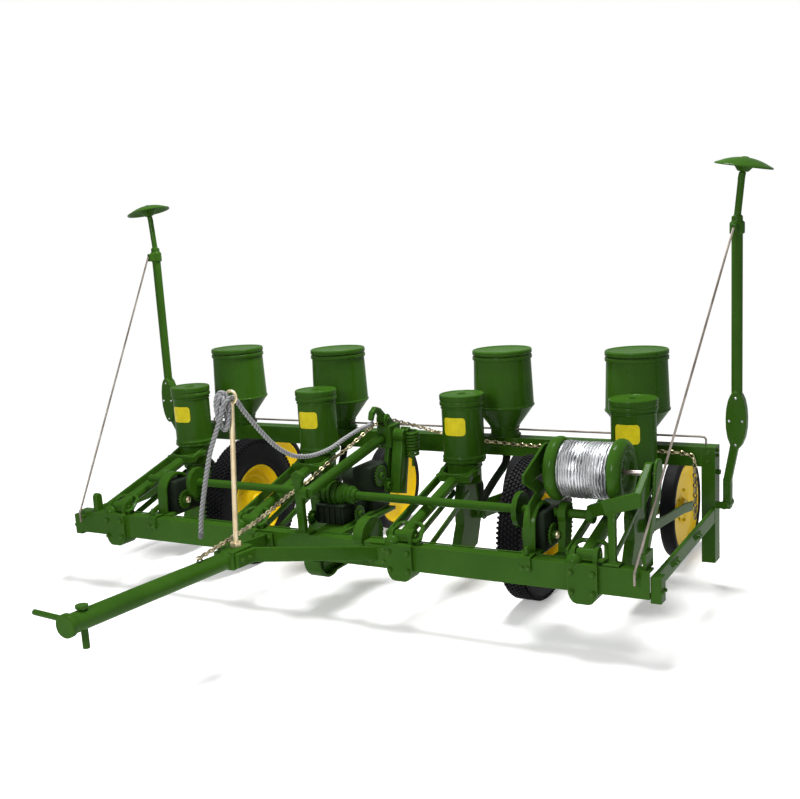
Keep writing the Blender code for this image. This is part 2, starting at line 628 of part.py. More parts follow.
def press_arms():
    """Forks that trail each press wheel from the row's boot."""
    for i, row_x in enumerate(ROW_XS, 1):
        back, z = PRESS_PIVOT
        axle = (PRESS_AXLE_BACK, PRESS_RADIUS)
        gap_x = PRESS_WIDTH / 2 + 0.012
        solids = []
        for side in (-1, 1):
            x = row_x + side * (gap_x + CHEEK / 2)
            solids.append(bar(at(x, back, z), at(x, PRESS_AXLE_BACK - 0.15, PRESS_RADIUS + 0.03),
                              0.060, CHEEK))
            solids.append(bar(at(x, PRESS_AXLE_BACK - 0.17, PRESS_RADIUS + 0.032),
                              at(x, PRESS_AXLE_BACK + 0.035, PRESS_RADIUS), 0.060, CHEEK))
            solids.append(rod(at(x - CHEEK / 2, back, z), at(x + CHEEK / 2, back, z), 0.040))
        pin = rod(at(row_x - gap_x - 0.006, *axle), at(row_x + gap_x + 0.006, *axle), PRESS_PIN)
        tie = block(at(row_x - gap_x - 0.004, back + 0.135, z - 0.040),
                    at(row_x + gap_x + 0.004, back + 0.165, z + 0.010))
        hole = rod(at(row_x - 0.1, back, z), at(row_x + 0.1, back, z), 0.014 + RUNNING, 12)
        finish("press_arm_%d" % i, "green", solids[0], [*solids[1:], pin, tie], [hole],
               pivot=at(row_x, back, z))


# ---------------------------------------------------------------- rows
def row_frames():
    for i, row_x in enumerate(ROW_XS, 1):
        eye = rod(at(row_x - EAR_INNER + 0.001, PIVOT_BACK, PIVOT_Z),
                  at(row_x + EAR_INNER - 0.001, PIVOT_BACK, PIVOT_Z), EYE_RADIUS)
        pin = rod(at(row_x - 0.105, PIVOT_BACK, PIVOT_Z), at(row_x + 0.080, PIVOT_BACK, PIVOT_Z),
                  PIN_RADIUS)
        tube = rod(at(row_x, PIVOT_BACK, PIVOT_Z), at(row_x, YOKE_BACK, YOKE_Z), TUBE_RADIUS)
        cross = block(at(row_x - 0.105, YOKE_BACK - 0.022, YOKE_Z - 0.010),
                      at(row_x + 0.105, YOKE_BACK + 0.022, YOKE_Z + 0.034))
        prongs = [bar(at(row_x + s * 0.093, YOKE_BACK, YOKE_Z + 0.012),
                      at(row_x + s * 0.093, SEED_BACK + 0.02, SEED_BOTTOM - 0.030), 0.040, 0.024)
                  for s in (-1, 1)]
        drum = rod(at(row_x, SEED_BACK, 0.610), at(row_x, SEED_BACK, SEED_BOTTOM - 0.016), 0.098)
        flange = rod(at(row_x, SEED_BACK, SEED_BOTTOM - 0.022), at(row_x, SEED_BACK, SEED_BOTTOM - GAP),
                     SEED_LID_RADIUS - 0.003)
        link = bar(at(row_x - 0.095, PIVOT_BACK - 0.01, PIVOT_Z - 0.004),
                   at(row_x - 0.095, SEED_BACK + 0.04, SEED_BOTTOM - 0.045), 0.052, 0.016)
        y = FRONT_FACE_Y
        leaf = [(y + SEED_BACK - 0.070, 0.620), (y + SEED_BACK - 0.115, 0.500),
                (y + SEED_BACK - 0.105, 0.380), (y + SEED_BACK - 0.190, 0.215),
                (y + SEED_BACK - 0.040, 0.185), (y + SEED_BACK + 0.070, 0.215),
                (y + SEED_BACK + 0.130, 0.360), (y + SEED_BACK + 0.140, 0.480),
                (y + SEED_BACK + 0.075, 0.620)]
        boot = plate(leaf, row_x - 0.028, row_x + 0.028)
        hub = rod(at(row_x - 0.052, *PRESS_PIVOT), at(row_x + 0.052, *PRESS_PIVOT), 0.034, 10)
        trunnion = rod(at(row_x - 0.076, *PRESS_PIVOT), at(row_x + 0.076, *PRESS_PIVOT), 0.014, 10)
        finish("row_frame_%d" % i, "green", tube,
               [eye, pin, cross, *prongs, drum, flange, link, boot, hub, trunnion])


def seed_hoppers():
    """Straight cans with a rolled foot, open at the top under a lift-off lid."""
    for i, row_x in enumerate(ROW_XS, 1):
        r, low, high = SEED_RADIUS, SEED_BOTTOM, SEED_TOP - 0.012
        wall = [(r - SHEET, high), (r, high), (r + 0.002, low + 0.016), (r + 0.006, low + 0.012),
                (r + 0.006, low), (0.030, low), (0.030, low + SHEET), (r + 0.002 - SHEET, low + SHEET * 2)]
        finish("seed_hopper_%d" % i, "green", turned(wall, CAN_SIDES, at(row_x, SEED_BACK, 0)))
        lid_low = SEED_TOP - 0.062
        skirt = r + LID_LIFT_GAP
        cover = [(0.0, SEED_TOP), (SEED_LID_RADIUS - 0.006, SEED_TOP - 0.002),
                 (SEED_LID_RADIUS, SEED_TOP - 0.008), (SEED_LID_RADIUS, lid_low), (skirt, lid_low),
                 (skirt, high + GAP), (0.0, high + 0.003)]
        finish("seed_lid_%d" % i, "green", turned(cover, CAN_SIDES, at(row_x, SEED_BACK, 0), closed=False),
               pivot=at(row_x, SEED_BACK, SEED_TOP))


def fertilizer_hoppers():
    """Taller cans with a cone down to a neck that stands on the rear beam."""
    for i, x in enumerate(FERT_XS, 1):
        r, high = FERT_RADIUS, FERT_TOP - 0.012
        foot = BEAM_TOP + GAP
        neck = FERT_NECK_RADIUS
        wall = [(r - SHEET, high), (r, high), (r + FERT_FLARE, FERT_SHOULDER + 0.006),
                (r + 0.010, FERT_SHOULDER - 0.010), (neck + 0.002, foot + 0.045), (neck, foot),
                (neck - 0.050, foot), (neck - 0.050, foot + 0.006),
                (neck - SHEET * 1.5, foot + 0.050), (r + 0.003 - SHEET, FERT_SHOULDER)]
        finish("fertilizer_hopper_%d" % i, "green", turned(wall, CAN_SIDES, at(x, FERT_BACK, 0)))
        lid_low = FERT_TOP - 0.058
        skirt = r + LID_LIFT_GAP + FERT_FLARE / 6
        cover = [(0.0, FERT_TOP), (FERT_LID_RADIUS - 0.006, FERT_TOP - 0.002),
                 (FERT_LID_RADIUS, FERT_TOP - 0.008), (FERT_LID_RADIUS, lid_low), (skirt, lid_low),
                 (skirt, high + GAP), (0.0, high + 0.003)]
        finish("fertilizer_lid_%d" % i, "green", turned(cover, CAN_SIDES, at(x, FERT_BACK, 0), closed=False),
               pivot=at(x, FERT_BACK, FERT_TOP))


# ---------------------------------------------------------------- wire reel
def reel():
    left, right, rim = REEL_LEFT, REEL_RIGHT, REEL_RADIUS
    centre = at(0, REEL_BACK, REEL_Z)
    spool = [(AXLE_RADIUS, right - 0.030), (0.080, right - 0.030), (0.112, right),
             (rim - 0.020, right), (rim, right - 0.020), (rim, right - REEL_FLANGE + 0.014),
             (rim - 0.014, right - REEL_FLANGE), (REEL_CORE, right - REEL_FLANGE),
             (REEL_CORE, left + REEL_FLANGE), (rim - 0.014, left + REEL_FLANGE),
             (rim, left + REEL_FLANGE - 0.014), (rim, left + 0.020), (rim - 0.020, left),
             (0.112, left), (0.080, left + 0.030), (AXLE_RADIUS, left + 0.030)]
    axle = [(0.0, REEL_RIGHT_BRACKET_X + 0.022), (AXLE_RADIUS, REEL_RIGHT_BRACKET_X + 0.022), *spool,
            (AXLE_RADIUS, REEL_LEFT_BRACKET_X - 0.030), (0.0, REEL_LEFT_BRACKET_X - 0.030)]
    finish("reel_spool", "green", turned(axle, 20, centre, "X", closed=False), pivot=centre)


def reel_brackets():
    y = FRONT_FACE_Y
    x = REEL_LEFT_BRACKET_X
    hole = rod(at(x - 0.115, REEL_BACK, REEL_Z), at(REEL_RIGHT_BRACKET_X + 0.136, REEL_BACK, REEL_Z),
               AXLE_RADIUS + RUNNING, 16)
    z = REEL_Z
    outline = [(y + 0.080, BAR_TOP + 0.006), (y + 0.145, BAR_TOP + 0.006), (y + 0.160, 0.672),
               (y + 0.345, z - 0.111), (y + 0.150, z - 0.015), (y + 0.345, z + 0.052),
               (y + 0.345, z + 0.122), (y + 0.300, z + 0.122), (y + 0.020, z + 0.019),
               (y + 0.020, z - 0.021), (y + 0.180, z - 0.103), (y + 0.080, 0.712)]
    cranked = plate(outline, x - 0.007, x + 0.007)
    bearing = rod(at(x - 0.014, REEL_BACK, REEL_Z), at(x + 0.016, REEL_BACK, REEL_Z), 0.040, 16)
    tie = bar(at(x, REEL_BACK - 0.20, REEL_Z), at(x, REEL_BACK - 0.01, REEL_Z), 0.050, 0.020)
    shoe = block(at(x - 0.030, 0.010, BAR_TOP + GAP), at(x + 0.030, 0.150, BAR_TOP + 0.014))
    finish("reel_bracket_left", "green", cranked, [bearing, tie, shoe], [hole])

    x, front = REEL_RIGHT_BRACKET_X, REEL_BACK - REEL_RADIUS - 0.015
    cheek = [*arc((y + REEL_BACK, z + 0.006), 0.052, -20, 140, 6), (y + front - 0.015, z - 0.053),
             (y + front - 0.015, z - 0.123), (y + front + 0.030, z - 0.137),
             (y + REEL_BACK + 0.040, z - 0.043)]
    side = plate(cheek, x - 0.020, x + 0.018)
    strap = bar(at(x, front, z - 0.087), at(REEL_RIGHT - 0.070, front, z - 0.141), 0.076, 0.028, (0, 1, 0))
    shoulder = bar(at(REEL_RIGHT - 0.050, front, z - 0.133),
                   at(SHAFT_END + 0.004, SHAFT_BACK - 0.010, SHAFT_Z + 0.025), 0.066, 0.030, (0, 1, 0))
    eye = rod(at(SHAFT_END - 0.020, SHAFT_BACK, SHAFT_Z), at(SHAFT_END + 0.017, SHAFT_BACK, SHAFT_Z),
              0.045, 12)
    leg = bar(at(REEL_RIGHT - 0.028, front, z - 0.153), at(REEL_RIGHT - 0.005, 0.050, BAR_TOP + 0.012),
              0.040, 0.028, (0, 1, 0))
    sole = block(at(REEL_RIGHT - 0.045, 0.006, BAR_TOP + GAP),
                 at(REEL_RIGHT + 0.040, 0.072, BAR_TOP + 0.014))
    shaft_bore = rod(at(SHAFT_END - 0.070, SHAFT_BACK, SHAFT_Z), at(SHAFT_END + 0.002, SHAFT_BACK, SHAFT_Z),
                     SHAFT_RADIUS + RUNNING, 16)
    finish("reel_bracket_right", "green", side, [strap, shoulder, eye, leg, sole], [hole, shaft_bore])


def depth_lever():
    """The long paddle lever inside the right end of the frame."""
    y = FRONT_FACE_Y
    centre = (y + LEVER_PIVOT[0], LEVER_PIVOT[1])
    outline = [*arc(centre, 0.034, -150, -20, 5), (y + 0.235, 0.625), (y + 0.330, 0.720),
               (y + 0.372, 0.850), *arc((y + 0.318, 0.872), 0.056, 0, 160, 6), (y + 0.215, 0.700),
               (y + 0.165, 0.640)]
    finish("depth_lever", "green", plate(outline, LEVER_X - 0.008, LEVER_X + 0.008),
           cuts=[rod(at(LEVER_X - 0.1, *LEVER_PIVOT), at(LEVER_X + 0.1, *LEVER_PIVOT), 0.014 + RUNNING, 12)],
           pivot=at(LEVER_X, *LEVER_PIVOT))


def lever_bracket():
    """The lug and pin on the front bar that the paddle lever turns on."""
    lug = block(at(LEVER_X + 0.010, 0.020, BAR_TOP - 0.008), at(LEVER_X + 0.026, 0.135, 0.530))
    pin = rod(at(LEVER_X - 0.018, *LEVER_PIVOT), at(LEVER_X + 0.020, *LEVER_PIVOT), 0.014, 12)
    return [lug, pin]


# ---------------------------------------------------------------- row markers
def marker_axis(side):
    """A marker's rear pivot, and the direction back along the line that it folds about."""
    x, back, z = STAY_ANCHOR
    pivot = at(side * MARKER_PIVOT[0], *MARKER_PIVOT[1:])
    return pivot, (pivot - at(side * x, back, z)).normalized()


def markers():
    """Each marker: a jointed post with a lens-shaped plate, a clamp, a disc and a stay wire."""
    for tag, side in (("left", -1), ("right", 1)):
        pivot, along = marker_axis(side)
        x = side * MARKER_X
        knee = at(x - side * 0.004, MARKER_BACK, 0.870)
        bend = pivot + Vector((0, 0, 0.130))
        lower = bar(pivot + Vector((0, 0, -0.030)), bend + Vector((0, 0, 0.012)), 0.060, 0.042)
        hub = rod(pivot - along * MARKER_HUB, pivot + along * MARKER_HUB, 0.026)
        hole = rod(pivot - along * 0.1, pivot + along * 0.1, MARKER_PIN_RADIUS + RUNNING)
        shin = bar(bend, knee, 0.056, 0.044)
        half = [(0.818, 0.012), (0.838, 0.028), (0.880, 0.044), (0.930, 0.052), (0.985, 0.054),
                (1.040, 0.050), (1.085, 0.041), (1.115, 0.028), (1.130, 0.012)]
        lens = [(z, x + w) for z, w in half] + [(z, x - w) for z, w in reversed(half)]
        y = MARKER_BACK + FRONT_FACE_Y
        plates = plate(lens, y - 0.033, y + 0.033, "Y")
        tube = rod(at(x, MARKER_BACK, 1.080), at(x, MARKER_BACK, MARKER_TOP + 0.030), 0.030)
        collar = rod(at(x, MARKER_BACK, MARKER_TOP - 0.060), at(x, MARKER_BACK, MARKER_TOP), 0.040)
        ear = block(at(x - 0.014, MARKER_BACK - 0.075, MARKER_TOP - 0.058),
                    at(x + 0.014, MARKER_BACK - 0.030, MARKER_TOP - 0.006))
        lean = disc_axis(side)
        rim = at(side * DISC_PLACE[0], *DISC_PLACE[1:])
        throat = rim - lean * 0.062
        spindle = rod(at(x, MARKER_BACK, MARKER_TOP + 0.020), throat + Vector((0, 0, -0.006)), 0.019)
        neck = rod(throat - lean * 0.010, rim - lean * 0.034, 0.019)
        nose = rod(rim - lean * 0.040, rim + lean * (DISC_DEPTH - 0.014), DISC_PIN)
        finish("marker_arm_" + tag, "green", tube,
               [lower, hub, shin, plates, collar, ear, spindle, neck, nose], [hole], pivot=pivot)
        marker_disc(tag, rim, lean)
        stay_x, stay_back, stay_z = STAY_ANCHOR
        run = [at(side * stay_x, stay_back, stay_z - 0.030), at(side * stay_x, stay_back, stay_z + 0.030),
               at(x, MARKER_BACK - 0.075 - GAP - STAY_RADIUS, MARKER_TOP - 0.030)]
        wire("marker_stay_" + tag, "steel", run, STAY_RADIUS)


def disc_axis(side):
    """The way that a marker's disc faces, leaning outwards."""
    tilt = math.radians(DISC_TILT)
    return Vector((side * math.sin(tilt), 0, math.cos(tilt)))


def marker_disc(tag, rim, lean):
    """The domed disc that cuts the mark, free to turn on its spindle."""
    r, bore, top = DISC_RADIUS, DISC_PIN + RUNNING, DISC_DEPTH
    dome = [(0.0, top), (r * 0.33, top * 0.92), (r * 0.66, top * 0.62), (r * 0.90, top * 0.24), (r, 0.0),
            (r, -0.006), (r * 0.86, top * 0.16), (r * 0.48, top * 0.48), (0.030, -0.030), (bore, -0.030),
            (bore, top - 0.012), (0.0, top - 0.012)]
    disc = turned(dome, 20, (0, 0, 0), closed=False)
    disc.data.transform(Matrix.Translation(rim) @ lean.to_track_quat("Z", "Y").to_matrix().to_4x4())
    finish("marker_disc_" + tag, "green", disc, pivot=rim)


# ---------------------------------------------------------------- trip rope
def trip_rope():
    """From the trip hook, slack to the standard's eye, and down as a free end."""
    route = [at(0.035, 0.574, 0.9858), at(0.034, 0.500, 0.978), at(0.032, 0.430, 0.975),
             at(0.026, 0.280, 0.952), at(0.016, 0.130, 0.922), at(0.006, -0.020, 0.918),
             at(0.001, -0.150, 0.940), at(0.000, -0.240, 0.975), at(0.000, -0.350, 1.044),
             at(0.000, -0.465, 1.145), at(0.000, -0.573, 1.257),
             at(0.000, STANDARD_BACK + 0.096, ROPE_EYE_Z - 0.014),
             at(0.000, STANDARD_BACK + 0.065, ROPE_EYE_Z),
             at(-0.002, STANDARD_BACK + 0.036, ROPE_EYE_Z - 0.008), at(-0.012, -0.722, 1.300),
             at(-0.034, -0.745, 1.215), at(-0.090, -0.750, 1.090), at(-0.128, -0.745, 0.988),
             at(-0.162, -0.740, 0.884), at(-0.200, -0.735, 0.751), at(-0.222, -0.730, 0.632)]
    wire("trip_rope", "rope", smooth_path(route, ROPE_STEP), ROPE_RADIUS)


def build():
    front_bar()
    rear_beam()
    end_posts()
    side_braces()
    tongue()
    hitch_pin()
    tongue_yoke()
    rope_standard()
    lift_mast()
    lift_head()
    trip_hook()
    lift_housing()
    rockshafts()
    carrying_wheels()
    row_frames()
    press_arms()
    press_wheels()
    seed_hoppers()
    fertilizer_hoppers()
    reel()
    reel_brackets()
    depth_lever()
    markers()
    trip_rope()


build()
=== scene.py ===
"""Looks of the four-row corn planter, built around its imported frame.

Metres, +Z up, -Y forward. A place written as at(x, back, z) is measured back from
the front bar's face and up from the ground.
"""
import json
import math

import bmesh
import bpy
from mathutils import Matrix, Vector


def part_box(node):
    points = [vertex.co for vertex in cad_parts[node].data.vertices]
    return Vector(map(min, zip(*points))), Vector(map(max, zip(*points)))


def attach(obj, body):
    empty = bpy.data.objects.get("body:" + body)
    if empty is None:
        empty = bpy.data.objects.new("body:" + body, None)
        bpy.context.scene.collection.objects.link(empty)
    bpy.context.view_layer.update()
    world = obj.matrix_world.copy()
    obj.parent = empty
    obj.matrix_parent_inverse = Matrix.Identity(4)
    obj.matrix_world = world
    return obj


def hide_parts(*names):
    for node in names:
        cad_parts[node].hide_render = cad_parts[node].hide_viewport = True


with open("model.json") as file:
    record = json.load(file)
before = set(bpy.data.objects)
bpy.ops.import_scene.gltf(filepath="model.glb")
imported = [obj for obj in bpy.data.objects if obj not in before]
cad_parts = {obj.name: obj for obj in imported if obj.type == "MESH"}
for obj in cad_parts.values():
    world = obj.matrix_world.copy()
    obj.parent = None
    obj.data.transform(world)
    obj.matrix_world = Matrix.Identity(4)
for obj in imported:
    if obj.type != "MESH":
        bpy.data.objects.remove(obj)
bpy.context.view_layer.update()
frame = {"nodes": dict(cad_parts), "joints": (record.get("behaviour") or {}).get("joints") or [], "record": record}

# ---------------------------------------------------------------- places from the frame
HITCH_REACH = 1.870
FRONT_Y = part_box("tongue")[0].y + HITCH_REACH
ROWS = [sum(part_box("seed_hopper_%d" % i), Vector()).x / 2 for i in range(1, 5)]
SIDES = (("left", -1), ("right", 1))
CASTING_GRAIN = 0.004
CLAMP_X = 1.225
YOKE_X = 0.375
BEAM_FRONT = 1.132
BEAM_BACK = 1.182
SHAFT_BACK = 0.280
SHAFT_Z = 0.625
MARKER_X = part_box("front_bar")[1].x + 0.143
MARKER_BACK = 1.120


def at(x, back, z):
    """A point given from the front bar's face, in the frame's own axes."""
    return Vector((x, back + FRONT_Y, z))


def route_of(*places):
    """Points given the way that at() takes them."""
    return [at(*place) for place in places]


def joint_of(name):
    return next(joint for joint in frame["joints"] if joint["name"] == name)


def middle(node):
    low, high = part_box(node)
    return (low + high) / 2


# ---------------------------------------------------------------- node trees
def math_operator(operation):
    """An operator's plain and reflected forms, each as one Math node."""
    def plain(self, other):
        return self.graph.node("ShaderNodeMath", {"operation": operation}, {0: self, 1: other})

    def reflected(self, other):
        return self.graph.node("ShaderNodeMath", {"operation": operation}, {0: other, 1: self})
    return plain, reflected


class Value:
    """A socket that takes part in Python arithmetic by adding Math nodes."""

    def __init__(self, graph, socket):
        self.graph = graph
        self.socket = socket

    __add__, __radd__ = math_operator("ADD")
    __sub__, __rsub__ = math_operator("SUBTRACT")
    __mul__, __rmul__ = math_operator("MULTIPLY")
    __truediv__, __rtruediv__ = math_operator("DIVIDE")
    __mod__, __rmod__ = math_operator("MODULO")

    def clamped(self, low, high):
        """How far this value is from low to high, from 0 to 1."""
        return self.graph.node("ShaderNodeMapRange", {"clamp": True}, {0: self, 1: low, 2: high})


class Graph:
    """Adds nodes to a shader or geometry tree."""

    def __init__(self, tree):
        self.tree = tree

    def node(self, kind, settings=None, inputs=None, output=0):
        """A new node: its settings first, then the values or links of its sockets."""
        made = self.tree.nodes.new(kind)
        for key, value in (settings or {}).items():
            setattr(made, key, value)
        for key, value in (inputs or {}).items():
            if isinstance(value, Value):
                self.tree.links.new(value.socket, made.inputs[key])
            else:
                made.inputs[key].default_value = value
        return Value(self, made.outputs[output])

    def mix(self, factor, first, second):
        """A colour between two, by factor."""
        sockets = {0: factor, 6: first, 7: second}
        values = {k: (*v, 1.0) if isinstance(v, tuple) and len(v) == 3 else v for k, v in sockets.items()}
        return self.node("ShaderNodeMix", {"data_type": "RGBA"}, values, output=2)

    def noise(self, where, scale, detail=2.0):
        return self.node("ShaderNodeTexNoise", {}, {"Vector": where, "Scale": scale, "Detail": detail})

    def bump(self, strength, distance, height, **more):
        return self.node("ShaderNodeBump", {}, {"Strength": strength, "Distance": distance,
                                                "Height": height, **more})

    def vector_of(self, **axes):
        """A vector made from numbers given for some of X, Y and Z."""
        return self.node("ShaderNodeCombineXYZ", {}, axes)

    def geo(self, kind, inputs=None, **settings):
        """A geometry node by its short name."""
        return self.node("GeometryNode" + kind, settings, inputs)

    def instances(self, points, thing, turn):
        """The thing at every point, turned."""
        return self.geo("InstanceOnPoints", {"Points": points, "Instance": thing, "Rotation": turn})

    def standing(self, thing):
        """The thing at every given point, its Z axis along the point's direction."""
        way = self.geo("InputNamedAttribute", {"Name": "direction"}, data_type="FLOAT_VECTOR")
        stand = self.node("FunctionNodeAlignRotationToVector", {"axis": "Z"}, {"Vector": way})
        return self.instances(self.given["Geometry"], thing, stand)


# ---------------------------------------------------------------- materials
def new_material(name, metallic=0.0, coat=0.0, specular=0.5):
    """A material with its graph, its Principled shader and its Object coordinates."""
    material = bpy.data.materials.new(name)
    material.use_nodes = True
    graph = Graph(material.node_tree)
    shader = material.node_tree.nodes["Principled BSDF"]
    shader.inputs["Metallic"].default_value = metallic
    shader.inputs["Coat Weight"].default_value = coat
    shader.inputs["Coat Roughness"].default_value = 0.12
    shader.inputs["Specular IOR Level"].default_value = specular
    where = graph.node("ShaderNodeTexCoord", output=3)
    return material, graph, shader, where


def link(graph, value, shader, name):
    graph.tree.links.new(value.socket, shader.inputs[name])


def enamel(name, deep, pale, edge_highlight_and_wear, rough=0.29, edge_width=0.005):
    """Sprayed gloss paint: soft clouds, orange peel, a painted highlight on thin edges where the paint is also
    worn thin, painted shade on faces that point up, and dust where it faces up.
    """
    material, graph, shader, where = new_material(name, specular=0.004)
    rounded = graph.node("ShaderNodeBevel", {"samples": 4}, {"Radius": edge_width})
    normal = graph.node("ShaderNodeNewGeometry", output=1)
    agree = graph.node("ShaderNodeVectorMath", {"operation": "DOT_PRODUCT"}, {0: rounded, 1: normal},
                       output=1)
    # edge marks the thin edges, which are lightened below: painted highlight, partly also paint worn thin there
    edge = (1.0 - agree).clamped(0.02, 0.22)
    cloud = graph.noise(where, 2.6, 3.0).clamped(0.35, 0.65)
    speck = graph.noise(where, 34.0, 4.0).clamped(0.40, 0.75)
    up = graph.node("ShaderNodeSeparateXYZ", {}, {0: normal}, output=2).clamped(0.55, 1.0)
    dust = up * speck * 0.04
    link(graph, (1.0 - up) * 0.14, shader, "Coat Weight")
    tone = graph.mix(cloud * 0.60 + speck * 0.15, deep, pale)
    # the edges take the pale tint: painted highlight and wear
    worn_and_highlit = graph.mix(edge * 0.55, tone, edge_highlight_and_wear)
    # faces that point up are darkened towards a darker copy of the deep colour: painted shade
    tops_shaded = graph.mix(up * 0.30, worn_and_highlit, tuple(0.55 * c for c in deep))
    colour = graph.mix(dust, tops_shaded, (0.16, 0.18, 0.11))
    link(graph, colour, shader, "Base Color")
    link(graph, rough + speck * 0.10 + dust * 0.9, shader, "Roughness")
    peel = graph.bump(0.10, 0.004, graph.noise(where, 150.0, 2.0), Normal=rounded)
    link(graph, peel, shader, "Normal")
    return material


def metal(name, dark, light, rough, grain=90.0, bump=0.15, **shine):
    """Bare or plated metal with tarnish in patches and a fine grain."""
    material, graph, shader, where = new_material(name, **{"metallic": 1.0, **shine})
    patch = graph.noise(where, 9.0, 5.0).clamped(0.35, 0.68)
    fine = graph.noise(where, grain, 4.0)
    link(graph, graph.mix(patch * 0.8 + fine * 0.2, dark, light), shader, "Base Color")
    link(graph, rough + (1.0 - patch) * 0.16 + fine * 0.06, shader, "Roughness")
    link(graph, graph.bump(bump, 0.002, fine), shader, "Normal")
    return material


def rubber_look():
    """Moulded black rubber, greyed by dust on its crowns."""
    material, graph, shader, where = new_material("tyre_rubber", specular=0.10)
    patch = graph.noise(where, 7.0, 5.0).clamped(0.38, 0.70)
    fine = graph.noise(where, 240.0, 3.0)
    link(graph, graph.mix(patch * 0.40, (0.0026, 0.0026, 0.0034), (0.0110, 0.0110, 0.0125)), shader,
         "Base Color")
    link(graph, 0.52 + patch * 0.22 + fine * 0.08, shader, "Roughness")
    link(graph, graph.bump(0.25, 0.002, fine), shader, "Normal")
    return material


def rope_look():
    """Grey braided yarn with short fibres: each strand is lighter on its crown and near black in the grooves
    between strands, which is painted shade.
    """
    material, graph, shader, where = new_material("rope_yarn")
    fibre = graph.noise(where, 260.0, 4.0)
    patch = graph.noise(where, 18.0, 3.0).clamped(0.35, 0.65)
    # crown is 1 on a strand's top and 0 in the groove between strands; the dark end of the mix paints shade into
    # the grooves
    depth = graph.node("ShaderNodeAttribute", {"attribute_name": "crown"}, output=2)
    tone = graph.mix(depth * 0.75 + fibre * 0.35, (0.045, 0.048, 0.052), (0.33, 0.335, 0.345))
    link(graph, graph.mix(patch * 0.25, tone, (0.22, 0.21, 0.195)), shader, "Base Color")
    link(graph, 0.78 + fibre * 0.2, shader, "Roughness")
    link(graph, graph.bump(0.6, 0.003, fibre), shader, "Normal")
    shader.inputs["Sheen Weight"].default_value = 0.12
    return material


def vinyl_look():
    """A plain yellow sticker, slightly faded, with a glossy face."""
    material, graph, shader, where = new_material("sticker_vinyl", coat=0.06, specular=0.10)
    patch = graph.noise(where, 30.0, 3.0).clamped(0.3, 0.7)
    link(graph, graph.mix(patch, (0.60, 0.50, 0.010), (0.70, 0.60, 0.015)), shader, "Base Color")
    link(graph, 0.28 + patch * 0.1, shader, "Roughness")
    link(graph, graph.bump(0.04, 0.001, patch), shader, "Normal")
    return material


# The third colour of each enamel is its edge tint: painted highlight, partly also paint worn thin.
GREEN = enamel("green_enamel", (0.023, 0.073, 0.0050), (0.036, 0.104, 0.0085), (0.120, 0.250, 0.045))
YELLOW = enamel("yellow_enamel", (0.72, 0.47, 0.006), (0.82, 0.57, 0.010), (0.95, 0.76, 0.06), 0.30)
RUBBER = rubber_look()
ROPE = rope_look()
VINYL = vinyl_look()
WIRE = metal("galvanised_wire", (0.13, 0.135, 0.14), (0.60, 0.61, 0.62), 0.34, 70.0, 1.0)
STAY = metal("stay_wire", (0.10, 0.080, 0.064), (0.36, 0.315, 0.27), 0.34)
BRASS = metal("brass_rod", (0.48, 0.36, 0.20), (0.80, 0.70, 0.48), 0.28)
CHAIN = metal("chain_brass", (0.024, 0.019, 0.010), (0.60, 0.52, 0.32), 0.26, 160.0)
AXLE = metal("axle_steel", (0.22, 0.16, 0.13), (0.55, 0.52, 0.50), 0.34)
# A near-black green for the gear cases, drums, ribs and tubes: painted shade, put where the works lie in shadow
# under the hoppers and frame.
SHADE_DARK = metal("shade_dark_green", (0.0035, 0.0065, 0.0030), (0.011, 0.020, 0.009), 0.55, 120.0, 0.25,
             metallic=0.0, specular=0.10)


# ---------------------------------------------------------------- shape helpers
def add_object(name, mesh, *materials):
    obj = bpy.data.objects.new(name, mesh)
    bpy.context.scene.collection.objects.link(obj)
    for material in materials:
        mesh.materials.append(material)
    return obj


def welded(mesh, flatten=False):
    """Merges doubled corners, and with flatten the flat faces' inner edges too."""
    work = bmesh.new()
    work.from_mesh(mesh)
    bmesh.ops.remove_doubles(work, verts=work.verts, dist=1e-6)
    if flatten:
        bmesh.ops.dissolve_limit(work, angle_limit=math.radians(0.5), verts=work.verts, edges=work.edges)
    work.to_mesh(mesh)
    work.free()


def mesh_object(name, build, *materials, sharp=35.0):
    """An object whose bmesh is filled in by build."""
    work = bmesh.new()
    build(work)
    bmesh.ops.remove_doubles(work, verts=work.verts, dist=1e-6)
    bmesh.ops.recalc_face_normals(work, faces=work.faces)
    mesh = bpy.data.meshes.new(name)
    work.to_mesh(mesh)
    work.free()
    mesh.shade_smooth()
    mesh.set_sharp_from_angle(angle=math.radians(sharp))
    return add_object(name, mesh, *materials)


def merged(name, parts):
    """Several mesh objects joined into one, with all their materials."""
    for index, part in enumerate(parts):
        part.name = "%s_part_%d" % (name, index)
    with bpy.context.temp_override(active_object=parts[0], selected_editable_objects=parts):
        bpy.ops.object.join()
    parts[0].name = name
    parts[0].data.name = name
    return parts[0]


def frame_of(direction):
    """A turn that takes +Z to direction."""
    return Vector(direction).normalized().to_track_quat("Z", "Y").to_matrix().to_4x4()


def filleted(profile, radius, steps=3, closed=True):
    """A profile with each corner rounded by up to radius."""
    points = [Vector((*p, 0.0)) for p in profile]
    count = len(points)
    out = []
    for i, corner in enumerate(points):
        if not closed and i in (0, count - 1):
            out.append(tuple(corner.xy))
            continue
        before, after = points[i - 1] - corner, points[(i + 1) % count] - corner
        cut = min(radius, before.length * 0.45, after.length * 0.45)
        first, last = corner + before.normalized() * cut, corner + after.normalized() * cut
        for step in range(steps + 1):
            t = step / steps
            out.append(tuple((first * (1 - t) ** 2 + corner * 2 * t * (1 - t) + last * t ** 2).xy))
    return out


